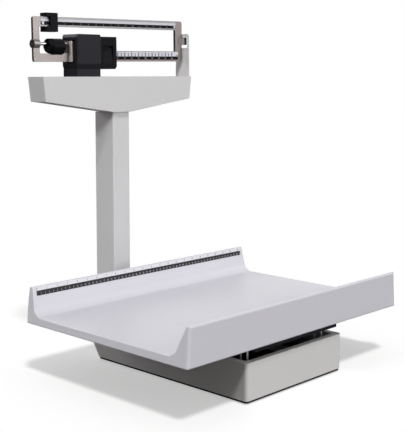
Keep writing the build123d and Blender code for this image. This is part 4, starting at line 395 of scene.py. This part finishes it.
# %% Finish of the feet
def rubber_finish():
    """Nearly black rubber with grey dust in its texture."""
    material, start, place = begin("moulded_rubber")
    normal, _ = soft_edges(start, 0.0006)
    grain = noise(place, 1600, 3)
    dust = noise(place, 90, 4)
    values = {
        "Base Color": mixed(clamped(slope(dust, 0.5, 0.8)), tint(28, 28, 29), tint(58, 57, 55)),
        "Roughness": uneven(0.72, (grain, 0.2)),
        "Specular IOR Level": 0.3,
    }
    lay(normal, grain, 0.00003, values)
    return material


rubber = rubber_finish()
print("the rubber has", len(rubber.node_tree.nodes), "nodes")

# %% [markdown]
# ## The beam's own finish
# The beam is one casting, ground flat on its front and back, so nickel shows there. The faces that
# look along the beam are made near black, apart from the hub's: painted shade for the dark that
# they mirror. A poise slides on the upper bar's rail and keeps it polished; the rail's pale colour
# is a painted reflection of the bright room, and the nickel darkens towards the right end as
# painted shade.
# The strips above the rail and below the printed plate are duller. The faces are told apart by
# their normals, and the strips by their height above the fulcrum, so nothing is painted by hand.

# %% Measures of the beam
TILT = math.radians(0.6)
FULCRUM = Vector((-0.084, 0.242, 0.628))
BAR_START, BAR_END = -198 * MM, 184 * MM
HUB_START, HUB_END = -140 * MM, -60 * MM
BAR_FOOT, PLATE_FOOT = 50 * MM, 60.5 * MM
RAIL_FOOT, RAIL_TOP, BAR_TOP = 66.9 * MM, 72.4 * MM, 80 * MM
print("the rail is", round((RAIL_TOP - RAIL_FOOT) / MM, 1), "mm high")

# %% Masks for the beam
FACING_LOW, FACING_HIGH = 0.6, 0.8


def between(value, low, high, blur):
    """1 where the value lies between low and high, with edges as wide as the blur."""
    rising = clamped(slope(value, low - blur, low + blur))
    return rising * (1 - clamped(slope(value, high - blur, high + blur)))


def faces_along(start, axis):
    """1 on faces that look along the axis, either way, and 0 on the others."""
    return clamped(slope(abs(part_of(true_normal(start), axis)), FACING_LOW, FACING_HIGH))


facing = math.degrees(math.acos((FACING_LOW + FACING_HIGH) / 2))
print("a face looks along an axis when it is within", round(facing), "degrees of it")

# %% Beam finish
FACE_BLUR, STRIP_BLUR = 1 * MM, 0.3 * MM
NEAR_END, FAR_END = -0.12, 0.2
STAINED_SHARE, EDGE_NICKEL_SHARE, RAIL_REFLECTION_SHARE = 0.35, 0.4, 0.8


def beam_finish():
    """Ground nickel, painted shade on the end faces and towards the right end, a painted reflection
    on the polished rail, and duller strips.
    """
    material, start, place = begin("beam_casting")
    normal, edges = soft_edges(start, 0.0006)
    x = part_of(place, "X")
    height = part_of(place, "Z") - FULCRUM.z - (x - FULCRUM.x) * math.tan(TILT)
    # painted shade: faces that look along the beam, apart from the hub's, turn near black for the
    # dark they mirror
    end_shade = faces_along(start, "X") * (1 - between(x, HUB_START, HUB_END, FACE_BLUR))
    bar = between(x, BAR_START, BAR_END, FACE_BLUR) * faces_along(start, "Y")
    # painted reflection: the rail mask marks where the polished rail gets a pale colour for the
    # bright room it mirrors
    rail = between(height, RAIL_FOOT, RAIL_TOP, STRIP_BLUR) * bar
    above = between(height, RAIL_TOP, BAR_TOP, STRIP_BLUR)
    below = between(height, BAR_FOOT, PLATE_FOOT, STRIP_BLUR)
    grain = noise(stretch(place, (180, 1500, 1500)), 1.0, 3, 0.6)
    stains = noise(place, 55, 4, 0.6)
    # painted shade: the nickel darkens from left to right along the beam
    right_end_shade = clamped(slope(x, NEAR_END, FAR_END))
    nickel = mixed(right_end_shade, tint(146, 139, 137), tint(130, 122, 121))
    stained = slope(stains, 0.35, 0.8) * STAINED_SHARE
    nickel = mixed(stained, nickel, tint(128, 120, 118))
    # painted reflection: pale, bluish colour on the rail
    nickel = mixed(rail, nickel, tint(192, 192, 199))
    nickel = mixed((above + below) * bar, nickel, tint(140, 137, 139))
    values = {
        # painted shade: near black on the end faces, thinner along their edges so nickel shows
        # there
        "Base Color": mixed(end_shade * (1 - edges * EDGE_NICKEL_SHARE), nickel, tint(27, 25, 27)),
        # painted reflection: the rail is made mostly non-metal so that its pale colour shows as it
        # is
        "Metallic": clamped(1 - end_shade - rail * RAIL_REFLECTION_SHARE),
        "Roughness": uneven(0.41, (grain, 0.14), (stains, 0.08)),
    }
    lay(normal, grain, 0.000008, values)
    return material


beam_casting = beam_finish()
print("the beam's finish has", len(beam_casting.node_tree.nodes), "nodes")

# %% [markdown]
# ## Dress the solids
# The record already says which kind of finish each node takes, so the nodes are dressed from its
# slots. A few pieces are named one by one: the darker poises among the black pieces, which differ
# on the real scale; the bottom plate, whose darkest black is also painted shade under the base; and
# the base and the trig bracket, whose lighter copies of the grey enamel are painted light.

# %% Give each node its finish
finish_of_slot = {
    "tray_plastic": tray_enamel,
    "printed_rule": rule_film,
    "grey_paint": grey_enamel,
    "black_paint": black_enamel,
    "beam_nickel": beam_casting,
    "scale_print": poise_enamel,
    "steel": zinc,
    "chrome": chrome,
    "lever_iron": iron,
    "rubber": rubber,
}
finish_of_node = {
    "small_poise": poise_enamel,
    "small_poise_plug": poise_enamel,
    "large_poise": poise_enamel,
    "small_balance_weight": poise_enamel,
    "large_balance_weight": poise_enamel,
    # painted shade: the bottom plate's darkest black also stands in for the shade under the base's
    # edge
    "bottom_plate": poise_enamel,
    # painted light: the base and the trig bracket take lighter copies of the grey enamel
    "base_shell": lit_base_enamel,
    "trig_bracket": lit_trig_enamel,
    "bearing_posts": posts,
}


def dress(piece, material):
    """One finish over the whole piece."""
    piece.data.materials.clear()
    piece.data.materials.append(material)


for row in frame["record"]["subparts"]:
    of_slot = finish_of_slot[row["material_slot"]]
    dress(nodes[row["node"]], finish_of_node.get(row["node"], of_slot))

# %% [markdown]
# ## Printed marks
# The plates on the beam and the rule on the tray are printed, and print has hardly any thickness.
# Each kind of mark is one thin mesh, a few hundredths of a millimetre proud, made of bars and of
# numerals. A numeral starts as Blender's own text, turned into a mesh and set down point by point
# on the leaning surface, so it follows the beam's tilt and the wall's lean exactly.

# %% Numerals as meshes
numeral_shapes = {}


def numeral(text):
    """The points and faces of a text, one unit high from its baseline, kept for the next use."""
    if text not in numeral_shapes:
        letters = bpy.data.curves.new("numeral", "FONT")
        letters.body, letters.align_x = text, "CENTER"
        letters.extrude, letters.resolution_u = 0.1, 3
        carrier = bpy.data.objects.new("numeral", letters)
        bpy.context.scene.collection.objects.link(carrier)
        finished = carrier.evaluated_get(bpy.context.evaluated_depsgraph_get())
        shape = bpy.data.meshes.new_from_object(finished)
        points = [point.co.copy() for point in shape.vertices]
        low = min(point.y for point in points)
        tall = max(point.y for point in points) - low
        points = [(point.x / tall, (point.y - low) / tall, point.z > 0) for point in points]
        numeral_shapes[text] = points, [tuple(face.vertices) for face in shape.polygons]
        bpy.data.objects.remove(carrier)
        bpy.data.meshes.remove(shape)
    return numeral_shapes[text]


print("the numeral 8 has", len(numeral("8")[0]), "points")

# %% Marks as one thin mesh
BAR_PROUD, NUMERAL_PROUD, SUNK, SECOND_LAYER = 0.06, 0.09, -0.2, 0.03
BOX_FACES = ((3, 2, 1, 0), (4, 5, 6, 7), (0, 1, 5, 4), (1, 2, 6, 5), (2, 3, 7, 6), (3, 0, 4, 7))


def stroke(along, half_width, low, high):
    """An upright bar around a place along a scale."""
    return (along - half_width, along + half_width, low, high)


def print_marks(name, surface, bars, words, finish, body):
    """One thin mesh of bars (left, right, low, high) and words (text, middle, low, height)."""
    marks = bmesh.new()
    for left, right, low, high in bars:
        rim = ((left, low), (right, low), (right, high), (left, high))
        corners = [marks.verts.new(surface(x, y, out)) for out in (SUNK, BAR_PROUD) for x, y in rim]
        for face in BOX_FACES:
            marks.faces.new([corners[i] for i in face])
    for text, middle, low, height in words:
        points, faces = numeral(text)
        set_down = [
            marks.verts.new(
                surface(middle + x * height, low + y * height, NUMERAL_PROUD if front else SUNK)
            )
            for x, y, front in points
        ]
        for face in faces:
            marks.faces.new([set_down[i] for i in face])
    bmesh.ops.remove_doubles(marks, verts=marks.verts, dist=1e-7)
    bmesh.ops.recalc_face_normals(marks, faces=marks.faces)
    data = bpy.data.meshes.new(name)
    marks.to_mesh(data)
    marks.free()
    piece = bpy.data.objects.new(name, data)
    bpy.context.scene.collection.objects.link(piece)
    dress(piece, finish)
    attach(piece, body)
    print(name, len(bars), "bars", len(words), "numerals", len(data.polygons), "faces")


def raised(surface):
    """The same surface a little further out, for print on top of print."""
    return lambda along, up, out: surface(along, up, out + SECOND_LAYER)


print("bars stand", BAR_PROUD, "mm proud and numerals", NUMERAL_PROUD, "mm")

# %% [markdown]
# ## Inks
# Screen print is one even colour that doesn't shine much. With years of wiping it thins in spots,
# so each ink gets a second, weaker tone of itself there.


# %% Printing inks
def ink(name, colour, roughness):
    """Printing ink: even colour that thins a little where the print is worn."""
    material, start, place = begin(name)
    thin = noise(place, 700, 3)
    values = {
        "Base Color": mixed(clamped(slope(thin, 0.5, 0.9)), colour, shaded(colour, 0.85, 0.012)),
        "Roughness": uneven(roughness, (thin, 0.2)),
        "Specular IOR Level": 0.25,
    }
    lay(true_normal(start), thin, 0.000004, values)
    return material


black_ink = ink("black_ink", tint(26, 26, 30), 0.45)
pale_ink = ink("pale_ink", tint(172, 170, 176), 0.5)
grey_ink = ink("grey_ink", tint(62, 62, 68), 0.5)
silver_ink = ink("silver_ink", tint(206, 206, 214), 0.35)
print("each ink has", len(pale_ink.node_tree.nodes), "nodes")

# %% [markdown]
# ## The beam's two scales
# The upper plate is black with pale strokes, and a numeral for each whole mark that the small poise
# can reach. The lower one has a silver upper half with long strokes, which the large poise's edge
# points at, and pale numerals on the black half below. Places are in millimetres along the beam
# from its fulcrum and up from it, and one function turns them into points on the tilted plates.

# %% The beam's printed face
plate_face = (FULCRUM.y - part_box("upper_scale_plate")[0][1]) / MM


def on_beam(along, up, out):
    """A point on the beam's printed face, from millimetres along and up from the fulcrum."""
    x = along * math.cos(TILT) - up * math.sin(TILT)
    z = along * math.sin(TILT) + up * math.cos(TILT)
    return FULCRUM + Vector((x, -plate_face - out, z)) * MM


print("the plates' face stands", round(plate_face, 2), "mm in front of the fulcrum")

# %% Print the upper plate
UPPER_FOOT, UPPER_TOP = 60.5, 66.9
UPPER_ZERO, UPPER_TRAVEL, UPPER_MARKS = -74.5, 335, 16
UPPER_STEP = UPPER_TRAVEL / UPPER_MARKS
WHOLE_STROKE, QUARTER_STROKE, STROKE_HALF, TOP_MARGIN = 1.5, 0.8, 0.15, 0.3

strokes = []
for quarter in range(UPPER_MARKS * 4 + 1):
    length = QUARTER_STROKE if quarter % 4 else WHOLE_STROKE
    top = UPPER_TOP - TOP_MARGIN
    strokes.append(stroke(UPPER_ZERO + quarter * UPPER_STEP / 4, STROKE_HALF, top - length, top))
numbers = [
    (str(mark), UPPER_ZERO + mark * UPPER_STEP, UPPER_FOOT + 0.9, 2.8)
    for mark in range(UPPER_MARKS + 1)
]
print_marks("upper_scale_marks", on_beam, strokes, numbers, pale_ink, "beam")

# %% Print the lower plate
LOWER_START, LOWER_END, LOWER_FOOT, LOWER_TOP = 19.5, 275.0, -10.6, 7.4
LOWER_ZERO, LOWER_TRAVEL, LOWER_MARKS = 69.2, 185.5, 9
LOWER_STEP = LOWER_TRAVEL / LOWER_MARKS
SILVER_FOOT, END_MARGIN = -3.5, 0.4
HALF_MARK, WHOLE_MARK = (0.8, 7.0), (1.1, 9.0)

band = (LOWER_START + END_MARGIN, LOWER_END - END_MARGIN, SILVER_FOOT, LOWER_TOP - TOP_MARGIN)
print_marks("lower_scale_band", on_beam, [band], [], silver_ink, "beam")

strokes = []
for half in range(-3, 2 * LOWER_MARKS + 1):
    half_width, length = HALF_MARK if half % 2 else WHOLE_MARK
    along = LOWER_ZERO + half * LOWER_STEP / 2
    strokes.append(stroke(along, half_width, SILVER_FOOT + 0.1, SILVER_FOOT + length))
print_marks("lower_scale_strokes", raised(on_beam), strokes, [], grey_ink, "beam")

numbers = [
    (str(2 * mark), LOWER_ZERO + mark * LOWER_STEP, LOWER_FOOT + 1.3, 4.0)
    for mark in range(LOWER_MARKS + 1)
]
print_marks("lower_scale_numbers", on_beam, [], numbers, pale_ink, "beam")

# %% [markdown]
# ## The measuring rule
# The rule is a printed strip on the tray's back wall: inches in dark print on its pale upper half,
# centimetres in pale print on a black band along its lower half. The wall leans back, so places on
# the rule are millimetres along it from the tray's middle and up from the tray's rim.

# %% The rule's printed face
WALL_RUN, WALL_RISE = 9.5, 47.5
LEAN = math.atan2(WALL_RUN, WALL_RISE)
RULE_TOP = Vector((0.0, 0.1395, 0.1775))
RULE_THICKNESS = 0.6


def on_rule(along, up, out):
    """A point on the rule's face, from millimetres along it and up the wall from the rim."""
    out = out + RULE_THICKNESS
    y = up * math.sin(LEAN) - out * math.cos(LEAN)
    z = up * math.cos(LEAN) + out * math.sin(LEAN)
    return RULE_TOP + Vector((along, y, z)) * MM


print("the wall leans back by", round(math.degrees(LEAN), 1), "degrees")

# %% Print the black band
RULE_START, RULE_END = -296.0, 296.0
BAND_FOOT, BAND_TOP = -18.0, -8.4
BAND_OVERHANG = 0.4

band = (RULE_START - BAND_OVERHANG, RULE_END + BAND_OVERHANG, BAND_FOOT, BAND_TOP)
print_marks("rule_band", on_rule, [band], [], black_ink, "platform")

# %% Print the inches
INCH, INCHES = 25.4, 24
INCH_STROKES = (2.2, 0.9, 1.5, 0.9)

strokes = []
for quarter in range(INCHES * 4):
    along = RULE_START + 0.3 + quarter * INCH / 4
    low = BAND_TOP + 0.1
    if along < RULE_END:
        strokes.append(stroke(along, STROKE_HALF, low, low + INCH_STROKES[quarter % 4]))
numbers = [
    (str(inch), max(RULE_START + inch * INCH, RULE_START + 1.4), BAND_TOP + 2.2, 3.4)
    for inch in range(INCHES)
]
print_marks("rule_inches", on_rule, strokes, numbers, grey_ink, "platform")

# %% Print the centimetres
CENTIMETRE, CENTIMETRES = 10, 59
CENTIMETRE_STROKES = (1.2, 0.7)

strokes = []
for half in range(2 * CENTIMETRES + 1):
    along = RULE_START + half * CENTIMETRE / 2
    low = BAND_TOP - CENTIMETRE_STROKES[half % 2]
    strokes.append(stroke(along, 0.12, low, BAND_TOP - 0.2))
numbers = [
    (str(mark), RULE_START + mark * CENTIMETRE, BAND_FOOT + 2.0, 3.2)
    for mark in range(1, CENTIMETRES + 1)
]
print_marks(
    "rule_centimetres", raised(on_rule), strokes, numbers, pale_ink, "platform"
)

# %% [markdown]
# ## Floor and room
# The scale stands on white paper in a white room. Paper that is lit until it looks white would
# throw so much light back up that the base's shaded side would turn pale, so the camera sees a
# bright sheet, while light that falls from it on the object comes from a much darker one. The room
# is made the same way: plain white to look at, but dim as a lamp. A black card stands to the left,
# where the black and the chromed pieces would mirror nothing but white.


# %% Lay the paper floor
def flat_sheet(name, corners):
    """A plain rectangle for the stage, from its four corners."""
    mesh = bpy.data.meshes.new(name)
    mesh.from_pydata(corners, [], [(0, 1, 2, 3)])
    sheet = bpy.data.objects.new(name, mesh)
    bpy.context.scene.collection.objects.link(sheet)
    sheet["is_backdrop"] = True
    return sheet


def white_paper():
    """Paper that the camera sees lit white, while the object gets only a dim bounce from it."""
    material, start, place = begin("white_paper")
    fibre = noise(place, 300, 3)
    seen = start.node("ShaderNodeLightPath", output="Is Camera Ray")
    bounce = mixed(fibre, (0.22, 0.208, 0.19, 1), (0.24, 0.228, 0.21, 1))
    sheet = mixed(seen, bounce, (0.86, 0.86, 0.86, 1))
    matt = {"Base Color": sheet, "Roughness": 0.9, "Specular IOR Level": 0.0}
    paper = start.node("ShaderNodeBsdfPrincipled", values=matt)
    lit = {"Color": (1.0, 0.992, 0.988, 1), "Strength": seen * 0.455}
    glow = start.node("ShaderNodeEmission", values=lit)
    both = start.node("ShaderNodeAddShader", values={0: paper, 1: glow})
    start.node("ShaderNodeOutputMaterial", values={"Surface": both})
    return material


floor = flat_sheet("paper_floor", [(-14, -14, 0), (14, -14, 0), (14, 14, 0), (-14, 14, 0)])
dress(floor, white_paper())
print("the floor is", floor.dimensions.x, "m wide")


# %% Stand up the black card
def black_board():
    """Matt black card."""
    material, start, _ = begin("black_card")
    matt = {"Base Color": (0.01, 0.01, 0.01, 1), "Roughness": 1.0, "Specular IOR Level": 0.0}
    board = start.node("ShaderNodeBsdfPrincipled", values=matt)
    start.node("ShaderNodeOutputMaterial", values={"Surface": board})
    return material


card = flat_sheet("black_card", [(-4, 0.6, 0), (-1, 3.6, 0), (-1, 3.6, 3.2), (-4, 0.6, 3.2)])
dress(card, black_board())
card.visible_camera = False
card.visible_diffuse = False
card.visible_shadow = False
print("the card is", round(card.dimensions.z, 1), "m high")


# %% Build the room
def build_room(level):
    """Dim light from all sides, while the camera and reflections see a plain white room."""
    world = bpy.data.worlds.new("studio_room")
    bpy.context.scene.world = world
    world.use_nodes = True
    world.node_tree.nodes.clear()
    start = Wire(world.node_tree)
    kinds = ("Is Camera Ray", "Is Glossy Ray", "Is Transmission Ray")
    camera_ray, glossy_ray, glass_ray = (
        start.node("ShaderNodeLightPath", output=kind) for kind in kinds
    )
    seen = clamped(camera_ray + glossy_ray + glass_ray)
    white = {"Color": (1, 1, 1, 1), "Strength": seen * (1 - level) + level}
    room = start.node("ShaderNodeBackground", values=white)
    start.node("ShaderNodeOutputWorld", values={"Surface": room})


ROOM_LEVEL = 0.25
build_room(ROOM_LEVEL)
print("the room gives", ROOM_LEVEL, "of the light that it shows")

# %% [markdown]
# ## Lamps
# One sun lamp from above lights the whole floor evenly, which leaves no horizon, and casts the one
# shadow. Three more lamps, in front, at the side and behind, shape the object alone. On a set,
# black flags would keep them off the paper, and here light linking does: each lamp leaves out the
# pieces that its flag names.


# %% Hang the lamps
def sun(name, towards, strength, spread):
    """A sun lamp that stands in the given direction from the object; its spread is in degrees."""
    lamp = bpy.data.objects.new(name, bpy.data.lights.new(name, "SUN"))
    lamp.data.energy = strength
    lamp.data.angle = math.radians(spread)
    lamp.rotation_mode = "QUATERNION"
    lamp.rotation_quaternion = Vector(towards).to_track_quat("Z", "Y")
    bpy.context.scene.collection.objects.link(lamp)
    return lamp


def flag(lamp, *pieces):
    """Keeps a lamp off some pieces, as a studio does with black flags."""
    flagged = bpy.data.collections.new(lamp.name + "_flags")
    for piece in pieces:
        flagged.objects.link(piece)
    for row in flagged.collection_objects:
        row.light_linking.link_state = "EXCLUDE"
    lamp.light_linking.receiver_collection = flagged


top_light = sun("top_light", (-0.32, -0.5, 1.0), strength=1.45, spread=8)
front_light = sun("front_light", (0.25, -1.0, 0.18), strength=1.85, spread=50)
side_light = sun("side_light", (-0.9, -0.25, 0.37), strength=1.0, spread=7)
back_light = sun("back_light", (-0.3, 0.9, 0.5), strength=1.3, spread=40)
flag(front_light, floor)
flag(side_light, floor, nodes["base_shell"])
flag(back_light, floor)
for lamp in (top_light, front_light, side_light, back_light):
    print(lamp.name, "has a strength of", round(lamp.data.energy, 2))

# %% [markdown]
# ## Both boxes
# The dressed object is meant to stay inside the box of the solids, so both boxes are printed.

# %% Print both boxes
low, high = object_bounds()
sizes = {"cad": [list(cad_low), list(cad_high)], "visual": [list(low), list(high)]}
print("CAD box", sizes["cad"], "visual box", sizes["visual"])
